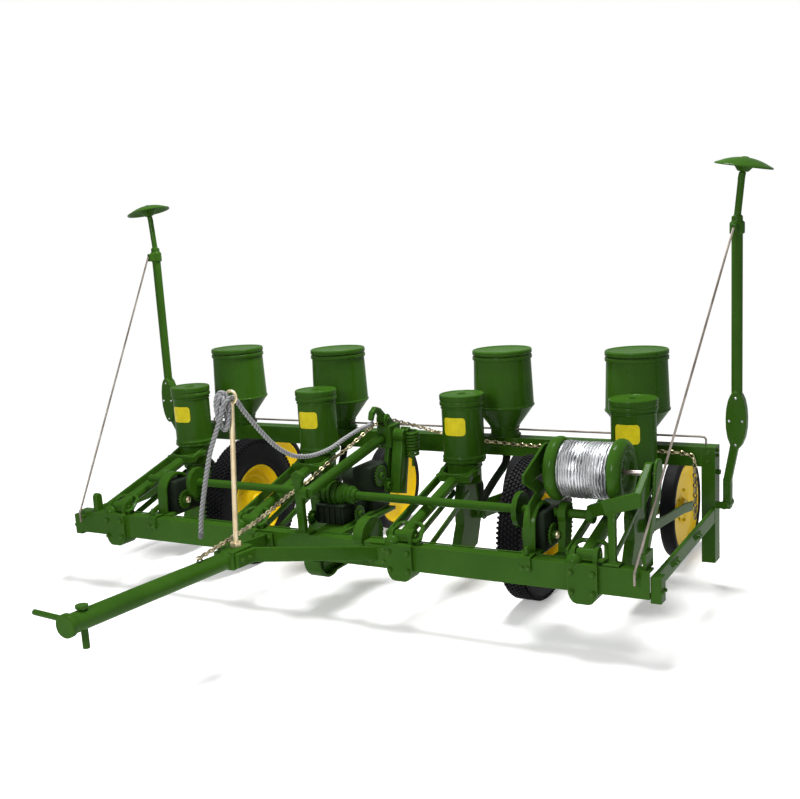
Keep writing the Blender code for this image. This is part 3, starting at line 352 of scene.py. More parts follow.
def lathe(name, profile, centre, material, axis=(0, 0, 1), sides=72, closed=True, sharp=35.0):
    """A (radius, height) profile spun about an axis through centre."""
    place = Matrix.Translation(Vector(centre)) @ frame_of(axis)

    def build(work):
        points = [work.verts.new((radius, 0, height)) for radius, height in profile]
        pairs = list(zip(points, points[1:])) + ([(points[-1], points[0])] if closed else [])
        edges = [work.edges.new(pair) for pair in pairs]
        bmesh.ops.spin(work, geom=[*points, *edges], cent=(0, 0, 0), axis=(0, 0, 1),
                       angle=math.tau, steps=sides, use_merge=True)
        bmesh.ops.remove_doubles(work, verts=work.verts, dist=1e-5)
        bmesh.ops.transform(work, matrix=place, verts=work.verts)
    return mesh_object(name, build, material, sharp=sharp)


def curve_of(name, path, cyclic=False):
    """A curve object with one straight-sided spline through the points."""
    curve = bpy.data.curves.new(name, "CURVE")
    curve.dimensions = "3D"
    spline = curve.splines.new("POLY")
    spline.use_cyclic_u = cyclic
    spline.points.add(len(path) - 1)
    for target, point in zip(spline.points, path):
        target.co = (*point, 1)
    obj = bpy.data.objects.new(name, curve)
    bpy.context.scene.collection.objects.link(obj)
    return obj


def swept(name, path, radius, material, sides=12, closed=False):
    """A round tube along a list of points."""
    obj = curve_of(name, path, closed)
    obj.data.bevel_depth = radius
    obj.data.bevel_resolution = max(1, sides // 4 - 1)
    obj.data.use_fill_caps = not closed
    return as_mesh(obj, material)


def as_mesh(obj, *materials):
    """The evaluated object as a plain mesh object in its place."""
    name = obj.name
    view = bpy.context.evaluated_depsgraph_get()
    view.update()
    mesh = bpy.data.meshes.new_from_object(obj.evaluated_get(view))
    mesh.transform(obj.matrix_world)
    bpy.data.objects.remove(obj, do_unlink=True)
    welded(mesh)
    mesh.shade_smooth()
    mesh.set_sharp_from_angle(angle=math.radians(38))
    if materials:
        mesh.materials.clear()
    return add_object(name, mesh, *materials)


def smooth_path(route, spacing):
    """Points read from a smooth curve through the route, about spacing apart."""
    curve = []
    ends = [route[0] * 2 - route[1], *route, route[-1] * 2 - route[-2]]
    for a, b, c, d in zip(ends, ends[1:], ends[2:], ends[3:]):
        steps = max(1, round((c - b).length / spacing))
        for i in range(steps):
            t = i / steps
            curve.append(0.5 * (2 * b + (c - a) * t + (2 * a - 5 * b + 4 * c - d) * t ** 2
                                + (3 * b - a - 3 * c + d) * t ** 3))
    return [*curve, route[-1]]


def ring_points(centre, radius, turns):
    """Points round an X axis through centre, one at each turn."""
    return [centre + Vector((0.0, radius * math.cos(a), radius * math.sin(a))) for a in turns]


def whole_turn(count):
    return [math.tau * k / count for k in range(count)]


def rounded_edges(work, edges, reach):
    bmesh.ops.bevel(work, geom=edges, offset=reach, segments=2, profile=0.5, affect="EDGES")


def slab(name, low, high, material, edge=0.003):
    """A box with rounded edges between two corners."""
    low, high = Vector(low), Vector(high)

    def build(work):
        place = Matrix.Translation((low + high) / 2) @ Matrix.Diagonal((*(high - low), 1))
        bmesh.ops.create_cube(work, size=1, matrix=place)
        rounded_edges(work, work.edges[:], edge)
    return mesh_object(name, build, material)


def flat_bar(name, start, end, width, thickness, material, side=(1, 0, 0), edge=0.003):
    """A flat bar with rounded edges; its thickness lies along side."""
    start, end = Vector(start), Vector(end)
    along = (end - start).normalized()
    flat = (Vector(side) - along * along.dot(Vector(side))).normalized()
    turn = Matrix((along.cross(flat), flat, along)).transposed().to_4x4()

    def build(work):
        size = Matrix.Diagonal((width, thickness, (end - start).length, 1))
        bmesh.ops.create_cube(work, size=1, matrix=size)
        rounded_edges(work, work.edges[:], edge)
        bmesh.ops.transform(work, matrix=Matrix.Translation((start + end) / 2) @ turn, verts=work.verts)
    return mesh_object(name, build, material)


def strap(name, points, width, thickness, material, side=(1, 0, 0)):
    """A bent flat bar through the points, as wide as width along side."""
    across = Vector(side).normalized() * width / 2
    outline = []
    for i, point in enumerate(points):
        before = (point - points[i - 1]).normalized() if i else (points[1] - point).normalized()
        after = (points[i + 1] - point).normalized() if i + 1 < len(points) else before
        along = (before + after).normalized()
        out = along.cross(across).normalized() * thickness / 2 / max(0.5, along.dot(after))
        outline.append((point, out))

    def build(work):
        rings = [[work.verts.new(p + out + across), work.verts.new(p + out - across),
                  work.verts.new(p - out - across), work.verts.new(p - out + across)]
                 for p, out in outline]
        for ring, following in zip(rings, rings[1:]):
            for k in range(4):
                work.faces.new((ring[k], ring[k - 1], following[k - 1], following[k]))
        work.faces.new(rings[0])
        work.faces.new(rings[-1])
        bmesh.ops.recalc_face_normals(work, faces=work.faces)
        rim = [e for e in work.edges if e.calc_face_angle(0.0) > math.radians(60)]
        rounded_edges(work, rim, thickness * 0.2)
    return mesh_object(name, build, material)


# ---------------------------------------------------------------- geometry nodes
def geometry_graph(name, numbers):
    """A geometry tree with one Geometry input and named number inputs, as a Graph."""
    tree = bpy.data.node_groups.new(name, "GeometryNodeTree")
    tree.interface.new_socket("Geometry", in_out="INPUT", socket_type="NodeSocketGeometry")
    for label in numbers:
        tree.interface.new_socket(label, in_out="INPUT", socket_type="NodeSocketFloat")
    tree.interface.new_socket("Geometry", in_out="OUTPUT", socket_type="NodeSocketGeometry")
    graph = Graph(tree)
    entry = tree.nodes.new("NodeGroupInput")
    graph.given = {socket.name: Value(graph, socket) for socket in entry.outputs if socket.name}
    return graph


def finish_tree(graph, geometry, material):
    """Realises the instances, gives them their material and ends the tree."""
    real = graph.geo("RealizeInstances", {0: geometry})
    painted = graph.geo("SetMaterial", {0: real, 2: material})
    leave = graph.tree.nodes.new("NodeGroupOutput")
    graph.tree.links.new(painted.socket, leave.inputs[0])
    return graph.tree


def grown(source, tree, numbers, name):
    """The mesh that a geometry tree makes from a source object, as a piece of its own."""
    source.name = name
    change = source.modifiers.new("grow", "NODES")
    change.node_group = tree
    keys = {item.name: item.identifier for item in tree.interface.items_tree if item.in_out == "INPUT"}
    for label, value in numbers.items():
        change[keys[label]] = value
    return as_mesh(source)


def chain_tree():
    """Links along a curve, every other one turned a quarter about the run."""
    graph = geometry_graph("chain_links", ("Pitch", "Wire"))
    pitch, wire = graph.given["Pitch"], graph.given["Wire"]
    points = graph.geo("CurveToPoints", {"Curve": graph.given["Geometry"], "Length": pitch}, mode="LENGTH")
    turn = Value(graph, points.socket.node.outputs["Rotation"])
    ring = graph.geo("CurvePrimitiveCircle", {"Resolution": 12, "Radius": pitch * 0.50})
    oval = graph.geo("Transform", {"Geometry": ring, "Scale": (0.68, 1.0, 1.36)})
    stood = graph.geo("Transform", {"Geometry": oval, "Rotation": (math.pi / 2, 0, 0)})
    round_bar = graph.geo("CurvePrimitiveCircle", {"Resolution": 6, "Radius": wire})
    link_mesh = graph.geo("CurveToMesh", {"Curve": stood, "Profile Curve": round_bar})
    placed = graph.instances(points, link_mesh, turn)
    quarter = (graph.geo("InputIndex") % 2.0) * (math.pi / 2) + 0.5
    turned_links = graph.geo("RotateInstances", {"Instances": placed,
                                                 "Rotation": graph.vector_of(Z=quarter)})
    return finish_tree(graph, graph.geo("SetShadeSmooth", {"Geometry": turned_links}), CHAIN)


def fastener_tree(name, material, washer=1.0):
    """A hexagon head on a washer at each point, standing along the point's direction."""
    graph = geometry_graph(name, ("Size",))
    size = graph.given["Size"]
    head = graph.geo("MeshCylinder", {"Vertices": 6, "Radius": size, "Depth": size * 0.9})
    raised = graph.geo("Transform", {"Geometry": head, "Translation": graph.vector_of(Z=size * 0.62)})
    plate_disc = graph.geo("MeshCylinder", {"Vertices": 16, "Radius": size * 1.35 * washer,
                                            "Depth": size * 0.34})
    stud = graph.geo("MeshCylinder", {"Vertices": 10, "Radius": size * 0.5, "Depth": size * 2.5})
    joined = graph.geo("JoinGeometry")
    for part in (raised, plate_disc, stud):
        graph.tree.links.new(part.socket, joined.socket.node.inputs[0])
    return finish_tree(graph, graph.standing(joined), material)


def rivet_tree(name, material):
    """A low round head at each point, standing along the point's direction."""
    graph = geometry_graph(name, ("Size",))
    ball = graph.geo("MeshIcoSphere", {"Radius": graph.given["Size"], "Subdivisions": 3})
    low_head = graph.geo("Transform", {"Geometry": ball, "Scale": (1.0, 1.0, 0.55)})
    smooth = graph.geo("SetShadeSmooth", {"Geometry": low_head})
    return finish_tree(graph, graph.standing(smooth), material)


def ring_tree(name, material):
    """Copies of a source mesh, evenly round the X axis."""
    graph = geometry_graph(name, ("Count", "Radius"))
    count, radius = graph.given["Count"], graph.given["Radius"]
    line = graph.geo("MeshLine", {"Count": 1})
    whole = graph.node("FunctionNodeFloatToInt", {}, {0: count})
    copies = graph.geo("DuplicateElements", {0: line, 2: whole}, domain="POINT")
    angle = graph.geo("InputIndex") * math.tau / count
    place = graph.vector_of(Y=graph.node("ShaderNodeMath", {"operation": "SINE"}, {0: angle}) * radius,
                            Z=graph.node("ShaderNodeMath", {"operation": "COSINE"}, {0: angle}) * radius)
    seated = graph.geo("SetPosition", {"Geometry": copies, "Position": place})
    placed = graph.instances(seated, graph.given["Geometry"], graph.vector_of(X=angle * -1.0))
    return finish_tree(graph, placed, material)


def wrap_tree():
    """Wire laid in close turns on a drum, slightly uneven from turn to turn."""
    graph = geometry_graph("wire_wraps", ("Turns", "Width", "Radius", "Wire"))
    radius = graph.given["Radius"]
    helix = graph.geo("CurveSpiral", {"Resolution": 40, "Rotations": graph.given["Turns"],
                                      "Start Radius": radius, "End Radius": radius,
                                      "Height": graph.given["Width"]})
    wobble = graph.node("ShaderNodeTexNoise", {"noise_dimensions": "3D"},
                        {"Vector": graph.geo("InputPosition"), "Scale": 34.0}, output=1)
    centred = graph.node("ShaderNodeVectorMath", {"operation": "SUBTRACT"}, {0: wobble, 1: (0.5, 0.5, 0.5)})
    shift = graph.node("ShaderNodeVectorMath", {"operation": "MULTIPLY"},
                       {0: centred, 1: (0.016, 0.016, 0.020)})
    uneven = graph.geo("SetPosition", {"Geometry": helix, "Offset": shift})
    round_bar = graph.geo("CurvePrimitiveCircle", {"Resolution": 6, "Radius": graph.given["Wire"]})
    wraps = graph.geo("CurveToMesh", {"Curve": uneven, "Profile Curve": round_bar, "Fill Caps": True})
    return finish_tree(graph, graph.geo("SetShadeSmooth", {"Geometry": wraps}), WIRE)


CHAIN_TREE = chain_tree()
BOLT_TREE = fastener_tree("hex_bolts", GREEN)
RIM_BOLT_TREE = fastener_tree("rim_bolts", YELLOW, 0.8)
RIVET_TREE = rivet_tree("rivet_heads", WIRE)
WRAP_TREE = wrap_tree()


def bolts(name, spots, size, tree=None):
    """Hexagon bolts at (place, direction) spots, as one piece."""
    mesh = bpy.data.meshes.new(name)
    mesh.from_pydata([place for place, _ in spots], [], [])
    way = mesh.attributes.new("direction", "FLOAT_VECTOR", "POINT")
    way.data.foreach_set("vector", [c for _, direction in spots for c in Vector(direction)])
    return grown(add_object(name, mesh), tree or BOLT_TREE, {"Size": size}, name)


# ---------------------------------------------------------------- the frame's own pieces
def copied(node, flatten=False):
    """A welded copy of the frame's own mesh, without its stored normals."""
    mesh = frame["nodes"][node].data.copy()
    welded(mesh, flatten)
    if "custom_normal" in mesh.attributes:
        mesh.attributes.remove(mesh.attributes["custom_normal"])
    return mesh


def clean_copy(node, material, body):
    """The frame's solid with welded corners and smooth round faces, in its finish."""
    mesh = copied(node, flatten=True)
    mesh.materials.clear()
    mesh.shade_smooth()
    mesh.set_sharp_from_angle(angle=math.radians(38))
    obj = add_object(node + "_shell", mesh, material)
    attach(obj, body)
    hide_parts(node)


def forged_copy(node, material, body):
    """The frame's solid as a casting: the same shape with soft rounded edges and corners."""
    obj = add_object(node + "_casting", copied(node))
    skin = obj.modifiers.new("skin", "REMESH")
    skin.mode = "VOXEL"
    skin.voxel_size = CASTING_GRAIN
    soften = obj.modifiers.new("soften", "SMOOTH")
    soften.factor = 0.5
    soften.iterations = 5
    thin = obj.modifiers.new("thin", "DECIMATE")
    thin.ratio = 0.45
    casting = as_mesh(obj, material)
    casting.data.set_sharp_from_angle(angle=math.radians(60))
    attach(casting, body)
    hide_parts(node)


def body_of(node):
    return next(name for name, nodes in frame["record"]["behaviour"]["bodies"].items() if node in nodes)


def painted_castings():
    """Every solid that keeps its own shape, in the finish that it has."""
    finishes = {"rope_standard": BRASS, "marker_stay_left": STAY, "marker_stay_right": STAY}
    forged = ("reel_bracket", "lift_", "trip_hook", "depth_lever", "row_frame", "press_arm", "marker_arm",
              "tongue", "side_brace")
    remade = ("seed_hopper", "seed_lid", "fertilizer", "tyre", "rim", "press_wheel", "marker_disc",
              "reel_spool", "trip_rope")
    for node in frame["nodes"]:
        if node.startswith(remade):
            continue
        if node.startswith(forged):
            forged_copy(node, GREEN, body_of(node))
        else:
            clean_copy(node, finishes.get(node, GREEN), body_of(node))


# ---------------------------------------------------------------- hoppers and lids
def can_radius(node):
    low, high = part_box(node)
    return (high.x - low.x) / 2


def lid_cover(name, cap, centre):
    return lathe(name, filleted(cap, 0.0022, closed=False), centre, GREEN, closed=False)


def seed_cans():
    """Seed hoppers with a rolled foot and a bead, and lids with a stepped skirt and a vent."""
    for i in range(1, 5):
        node, lid = "seed_hopper_%d" % i, "seed_lid_%d" % i
        low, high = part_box(node)
        lid_low, lid_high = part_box(lid)
        centre = Vector((*middle(node).xy, 0))
        foot = can_radius(node)
        r, cover = foot - 0.005, can_radius(lid) + 0.001
        wall = [(0.030, low.z), (foot, low.z), (foot, low.z + 0.012), (r + 0.001, low.z + 0.018),
                (r, low.z + 0.030), (r, lid_low.z - 0.022), (r + 0.005, lid_low.z - 0.018),
                (r + 0.005, lid_low.z - 0.012), (r, lid_low.z - 0.008), (r, high.z),
                (r - 0.003, high.z), (r - 0.003, low.z + 0.006), (0.030, low.z + 0.004)]
        can = lathe("seed_can_%d" % i, filleted(wall, 0.003), centre, GREEN)
        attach(can, body_of(node))
        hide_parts(node)
        top, skirt = lid_high.z, lid_low.z
        cap = [(0.0, top - 0.021), (0.022, top - 0.021), (0.024, top), (0.031, top),
               (0.036, top - 0.003), (cover - 0.018, top - 0.004), (cover - 0.014, top),
               (cover - 0.004, top), (cover, top - 0.006), (cover, skirt + 0.030),
               (cover - 0.004, skirt + 0.027), (cover - 0.004, skirt + 0.021),
               (cover, skirt + 0.018), (cover, skirt), (cover - 0.005, skirt),
               (cover - 0.005, top - 0.014), (0.034, top - 0.014), (0.030, top - 0.026),
               (0.0, top - 0.026)]
        cover_piece = lid_cover("seed_cover_%d" % i, cap, centre)
        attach(cover_piece, body_of(lid))
        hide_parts(lid)
        sticker(i, centre, r)


def sticker(i, centre, r):
    """A blank rounded label that follows the curve of the can, facing forward."""
    half_angle, half_height, corner, columns = 0.575, 0.052, 0.020, 36
    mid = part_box("seed_lid_%d" % i)[1].z - 0.177
    facing = math.radians(-90)

    def build(work):
        width = half_angle * r
        grid = {}
        for c in range(columns + 1):
            x = -width + 2 * width * c / columns
            inset = max(0.0, corner - (width - abs(x)))
            reach = half_height - corner + math.sqrt(max(0.0, corner ** 2 - inset ** 2))
            for k, z in enumerate((-reach, 0.0, reach)):
                turn = facing + x / r
                for layer, depth in enumerate((0.0006, 0.0016)):
                    spot = Vector(((r + depth) * math.cos(turn), (r + depth) * math.sin(turn), mid + z))
                    grid[c, k, layer] = work.verts.new(spot + centre)
        for c in range(columns):
            for k in range(2):
                for layer in (0, 1):
                    work.faces.new([grid[c, k, layer], grid[c + 1, k, layer],
                                    grid[c + 1, k + 1, layer], grid[c, k + 1, layer]])
            for k in (0, 2):
                work.faces.new([grid[c, k, 0], grid[c + 1, k, 0], grid[c + 1, k, 1], grid[c, k, 1]])
        for c in (0, columns):
            for k in range(2):
                work.faces.new([grid[c, k, 0], grid[c, k + 1, 0], grid[c, k + 1, 1], grid[c, k, 1]])
    label = mesh_object("blank_label_%d" % i, build, VINYL)
    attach(label, body_of("seed_hopper_%d" % i))


def fertilizer_cans():
    """Fertilizer hoppers with a rolled shoulder over a cone, and flat rimmed lids."""
    for i in range(1, 5):
        node, lid = "fertilizer_hopper_%d" % i, "fertilizer_lid_%d" % i
        low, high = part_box(node)
        lid_low, lid_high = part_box(lid)
        centre = Vector((*middle(node).xy, 0))
        widest = can_radius(node) + 0.002
        r, cover = widest - 0.013, can_radius(lid) + 0.001
        shoulder, neck = 1.000, 0.086
        wall = [(neck - 0.050, low.z), (neck + 0.012, low.z), (neck + 0.012, low.z + 0.008),
                (neck, low.z + 0.012), (neck, low.z + 0.046), (neck + 0.005, low.z + 0.050),
                (neck + 0.005, low.z + 0.056), (neck + 0.004, low.z + 0.060),
                (widest - 0.004, shoulder - 0.008), (widest + 0.002, shoulder - 0.004),
                (widest + 0.002, shoulder + 0.004), (widest - 0.002, shoulder + 0.008),
                (r, high.z), (r - 0.003, high.z), (widest - 0.006, shoulder + 0.002),
                (neck - 0.004, low.z + 0.060), (neck - 0.004, low.z + 0.006), (neck - 0.050, low.z + 0.006)]
        can = lathe("fertilizer_can_%d" % i, filleted(wall, 0.003), centre, GREEN)
        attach(can, body_of(node))
        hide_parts(node)
        top, skirt = lid_high.z, lid_low.z
        cap = [(0.0, top - 0.004), (cover - 0.022, top - 0.004), (cover - 0.016, top),
               (cover - 0.005, top), (cover, top - 0.007), (cover, skirt + 0.032),
               (cover - 0.005, skirt + 0.028), (cover - 0.005, skirt + 0.022), (cover, skirt + 0.018),
               (cover, skirt), (cover - 0.005, skirt), (cover - 0.005, top - 0.012),
               (0.0, top - 0.008)]
        cover_piece = lid_cover("fertilizer_cover_%d" % i, cap, centre)
        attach(cover_piece, body_of(lid))
        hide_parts(lid)


# ---------------------------------------------------------------- wheels
def wheel_sizes(node):
    """A wheel's middle, radius and half width."""
    low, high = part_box(node)
    return middle(node), (high.z - low.z) / 2, (high.x - low.x) / 2


def tread_block(name, size, turn):
    """One rubber block, tapered outwards, centred on the origin with its top along +Z."""
    width, length, height = size

    def build(work):
        cube = Matrix.Diagonal((width, length, height, 1))
        bmesh.ops.create_cube(work, size=1, matrix=Matrix.Rotation(turn, 4, "Z") @ cube)
        for vert in work.verts:
            if vert.co.z > 0:
                vert.co.xy *= 0.86
    return mesh_object(name, build, RUBBER, sharp=30)


def carrying_tyres():
    """Tyres with a rounded wall, six rows of leaning tread blocks and a row of lugs at each edge."""
    tree = ring_tree("tread_ring", RUBBER)
    rows, count = 6, 90
    for tag, _ in SIDES:
        node = "tyre_" + tag
        hub, outer, half = wheel_sizes(node)
        seat = wheel_sizes("rim_" + tag)[1] + 0.001
        crown = outer - 0.010
        wall = [(crown, half * 0.66), (crown - 0.016, half * 0.92), (outer - 0.070, half),
                (seat + 0.060, half * 0.99), (seat + 0.030, half * 0.90), (seat + 0.018, half * 0.94),
                (seat + 0.004, half * 0.80), (seat, half * 0.66)]
        ribs = [(crown - 0.002, half * 0.40), (crown - 0.002, half * 0.10)]
        profile = [*wall, *[(r, -h) for r, h in reversed(wall)], *[(r, -h) for r, h in ribs],
                   *reversed(ribs)]
        body = lathe("tyre_body_" + tag, filleted(profile, 0.010), hub, RUBBER, (1, 0, 0), 96)
        parts = [body]
        for row in range(rows):
            offset = (row - (rows - 1) / 2) * half * 0.285
            block = tread_block("block", (half * 0.235, 0.0185, 0.013), math.radians(28) * (-1) ** row)
            ring = grown(block, tree, {"Count": float(count), "Radius": outer - 0.0080}, "tread_row")
            phase = Matrix.Rotation(math.tau / count * 0.5 * (row % 2), 4, "X")
            ring.data.transform(Matrix.Translation(hub + Vector((offset, 0, 0))) @ phase)
            parts.append(ring)
        for edge in (-1, 1):
            lug = tread_block("lug", (half * 0.15, 0.014, 0.014), 0.0)
            ring = grown(lug, tree, {"Count": float(count), "Radius": outer - 0.0165}, "tread_edge")
            ring.data.transform(Matrix.Translation(hub + Vector((edge * half * 0.87, 0, 0))))
            parts.append(ring)
        tyre = merged("carrying_tyre_" + tag, parts)
        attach(tyre, body_of(node))
        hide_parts(node)


def carrying_rims():
    """Yellow drop-centre rims with a dished disc, a hub barrel and wheel bolts."""
    for tag, side in SIDES:
        node = "rim_" + tag
        hub, out, half = wheel_sizes(node)
        edge = half * 0.74
        bore = 0.0235
        face = [(out, edge), (out + 0.008, edge + 0.004), (out + 0.010, edge + 0.012),
                (out + 0.002, edge + 0.018), (out - 0.010, edge + 0.014), (out - 0.016, edge - 0.004),
                (out - 0.020, half * 0.20), (out - 0.034, half * 0.02), (out - 0.060, half * 0.02),
                (out - 0.072, half * 0.12), (0.118, half * 0.10), (0.102, half * 0.16),
                (0.084, half * 0.50), (0.070, half * 0.62), (0.050, half * 0.64), (0.044, half * 0.84),
                (bore, half * 0.84)]
        back = [(bore, -half * 0.84), (0.044, -half * 0.84), (0.052, -half * 0.62),
                (0.074, -half * 0.56), (0.094, -half * 0.24), (0.118, -half * 0.10),
                (out - 0.072, -half * 0.08), (out - 0.062, -half * 0.16), (out - 0.034, -half * 0.18),
                (out - 0.022, -half * 0.34), (out - 0.016, -edge + 0.004), (out - 0.010, -edge - 0.014),
                (out + 0.002, -edge - 0.018), (out + 0.010, -edge - 0.012), (out + 0.008, -edge - 0.004),
                (out, -edge)]
        profile = [(r, h * side) for r, h in [*face, *back]]
        rim = lathe("wheel_disc_" + tag, filleted(profile, 0.005), hub, YELLOW, (1, 0, 0), 80)
        turns = [math.tau * (k + 0.5) / 6 for k in range(6)]
        spots = [(place + Vector((side * half * out, 0, 0)), (math.copysign(1, side * out), 0, 0))
                 for place in ring_points(hub, 0.122, turns) for out in (0.11, -0.09)]
        nuts = bolts("wheel_bolts_" + tag, spots, 0.010, RIM_BOLT_TREE)
        for piece in (rim, nuts):
            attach(piece, body_of(node))
        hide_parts(node)


def press_wheels():
    """Press wheels: a black tread band round a yellow dished disc with a hub."""
    for i in range(1, 5):
        node = "press_wheel_%d" % i
        hub, outer, half = wheel_sizes(node)
        rim = outer - 0.046
        band = [(outer, -half * 0.62), (outer, half * 0.62), (outer - 0.010, half * 0.94),
                (outer - 0.026, half), (rim, half * 0.86), (rim, -half * 0.86),
                (outer - 0.026, -half), (outer - 0.010, -half * 0.94)]
        tread = lathe("press_tread_%d" % i, filleted(band, 0.008), hub, RUBBER, (1, 0, 0), 72)
        bore = 0.0145
        face = [(rim, half * 0.80), (rim - 0.012, half * 0.84), (rim - 0.022, half * 0.62),
                (rim - 0.060, half * 0.36), (0.120, half * 0.30), (0.085, half * 0.12),
                (0.056, half * 0.14), (0.048, half * 0.60), (0.042, half * 0.64), (bore, half * 0.64)]
        profile = [*face, *[(r, -h) for r, h in reversed(face)]]
        disc = lathe("press_disc_%d" % i, filleted(profile, 0.006), hub, YELLOW, (1, 0, 0), 72)
        spots = [(place + Vector((s * half * 0.22, 0, 0)), (s, 0, 0))
                 for place in ring_points(hub, 0.100, whole_turn(5)) for s in (-1, 1)]
        wheel = merged("press_disc_%d" % i, [disc, bolts("bolt", spots, 0.009, RIM_BOLT_TREE)])
        for piece in (tread, wheel):
            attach(piece, body_of(node))
        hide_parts(node)


def marker_discs():
    """Domed pressed discs with a rolled lip, a cap and a cone hub, leaning outwards on their spindles."""
    depth, bore, sheet = 0.041, 0.0135, 0.005

    def crown(radius, rim):
        return depth * (1 - (radius / rim) ** 2)
    for tag, _ in SIDES:
        node = "marker_disc_" + tag
        joint = joint_of("marker_disc_%s_spin" % tag)
        low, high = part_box(node)
        r = (high.y - low.y) / 2
        dome = [(0.0, depth + 0.004), (0.014, depth + 0.003), (0.020, crown(0.020, r))]
        dome += [(r * k / 8, crown(r * k / 8, r)) for k in range(2, 8)]
        lip = [(r - 0.002, 0.003), (r + 0.001, -0.001), (r, -0.006), (r - 0.006, -0.005)]
        under = [(r * k / 8, crown(r * k / 8, r) - sheet) for k in range(7, 4, -1)]
        cone = [(0.072, crown(0.072, r) - sheet), (0.066, crown(0.072, r) - 0.014), (0.028, -0.030),
                (bore, -0.032), (bore, depth - 0.014), (0.0, depth - 0.014)]
        disc = lathe("marker_saucer_" + tag, [*dome, *lip, *under, *cone], joint["pos_m"], GREEN,
                     joint["axis"], closed=False)
        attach(disc, body_of(node))
        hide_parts(node)


def marker_rivets():
    """Bright rivet heads on both faces of each marker's jointed plates."""
    for tag, side in SIDES:
        x = side * MARKER_X
        spots = [(at(x + dx, MARKER_BACK + face * 0.033, z), (0, face, 0))
                 for dx, z in ((0.0, 1.098), (-0.034, 0.972), (0.034, 0.972), (0.0, 0.842))
                 for face in (-1, 1)]
        heads = bolts("marker_rivets_" + tag, spots, 0.0075, RIVET_TREE)
        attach(heads, body_of("marker_arm_" + tag))


# ---------------------------------------------------------------- wire reel
def wire_reel():
    """The reel: two fat rounded flanges, a steel axle and the wound wire."""
    node = "reel_spool"
    low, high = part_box(node)
    hub = middle(node)
    rim = (high.z - low.z) / 2
    left, right, flange, core = low.x + 0.073, high.x - 0.126, 0.070, 0.136
    body = body_of(node)
    for name, inner, outer in (("reel_flange_left", left + flange, left),
                               ("reel_flange_right", right - flange, right)):
        way = 1 if outer > inner else -1
        ring = [(0.013, inner), (rim - 0.014, inner), (rim, inner + way * 0.016),
                (rim, outer - way * 0.024), (rim - 0.024, outer), (0.104, outer),
                (0.082, outer - way * 0.030), (0.050, outer - way * 0.034),
                (0.042, outer - way * 0.026), (0.013, outer - way * 0.026)]
        piece = lathe(name, filleted(ring, 0.014, 5), (0, hub.y, hub.z), GREEN, (1, 0, 0), 80)
        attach(piece, body)
    axle = [(0.0, low.x), (0.0105, low.x), (0.0125, low.x + 0.002), (0.0125, high.x - 0.002),
            (0.0105, high.x), (0.0, high.x)]
    rod = lathe("reel_axle", axle, (0, hub.y, hub.z), AXLE, (1, 0, 0), 32, closed=False)
    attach(rod, body)
    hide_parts(node)
    drum = lathe("reel_drum", [(0.0125, left + flange), (core, left + flange), (core, right - flange),
                               (0.0125, right - flange)], (0, hub.y, hub.z), WIRE, (1, 0, 0), 48)
    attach(drum, body)
    width = right - left - 2 * flange
    layers = []
    for index, (turns, radius) in enumerate(((20.0, core - 0.003), (17.0, core + 0.003))):
        seed = curve_of("wrap_seed", [(0, 0, 0), (0, 0, 0.1)])
        wrap = grown(seed, WRAP_TREE, {"Turns": turns, "Width": width - 0.010, "Radius": radius,
                                       "Wire": 0.0068}, "wraps")
        stand = Matrix.Translation((left + flange + 0.005, hub.y, hub.z)) @ frame_of((1, 0, 0))
        wrap.data.transform(stand @ Matrix.Rotation(1.7 * index, 4, "Z"))
        layers.append(wrap)
    wound = merged("wound_wire", layers)
    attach(wound, body)


# ---------------------------------------------------------------- trip rope
ROPE_RADIUS = 0.0125
STANDARD_BACK = -0.731
ROPE_EYE_Z = 1.3440


def rope_route():
    """The same points as the frame's rope follows."""
    return route_of(
        (0.035, 0.574, 0.9858), (0.034, 0.500, 0.978), (0.032, 0.430, 0.975), (0.026, 0.280, 0.952),
        (0.016, 0.130, 0.922), (0.006, -0.020, 0.918), (0.001, -0.150, 0.940), (0.000, -0.240, 0.975),
        (0.000, -0.350, 1.044), (0.000, -0.465, 1.145), (0.000, -0.573, 1.257),
        (0.000, STANDARD_BACK + 0.096, ROPE_EYE_Z - 0.014), (0.000, STANDARD_BACK + 0.065, ROPE_EYE_Z),
        (-0.002, STANDARD_BACK + 0.036, ROPE_EYE_Z - 0.008), (-0.012, -0.722, 1.300),
        (-0.034, -0.745, 1.215), (-0.090, -0.750, 1.090), (-0.128, -0.745, 0.988),
        (-0.162, -0.740, 0.884), (-0.200, -0.735, 0.751), (-0.222, -0.730, 0.632))


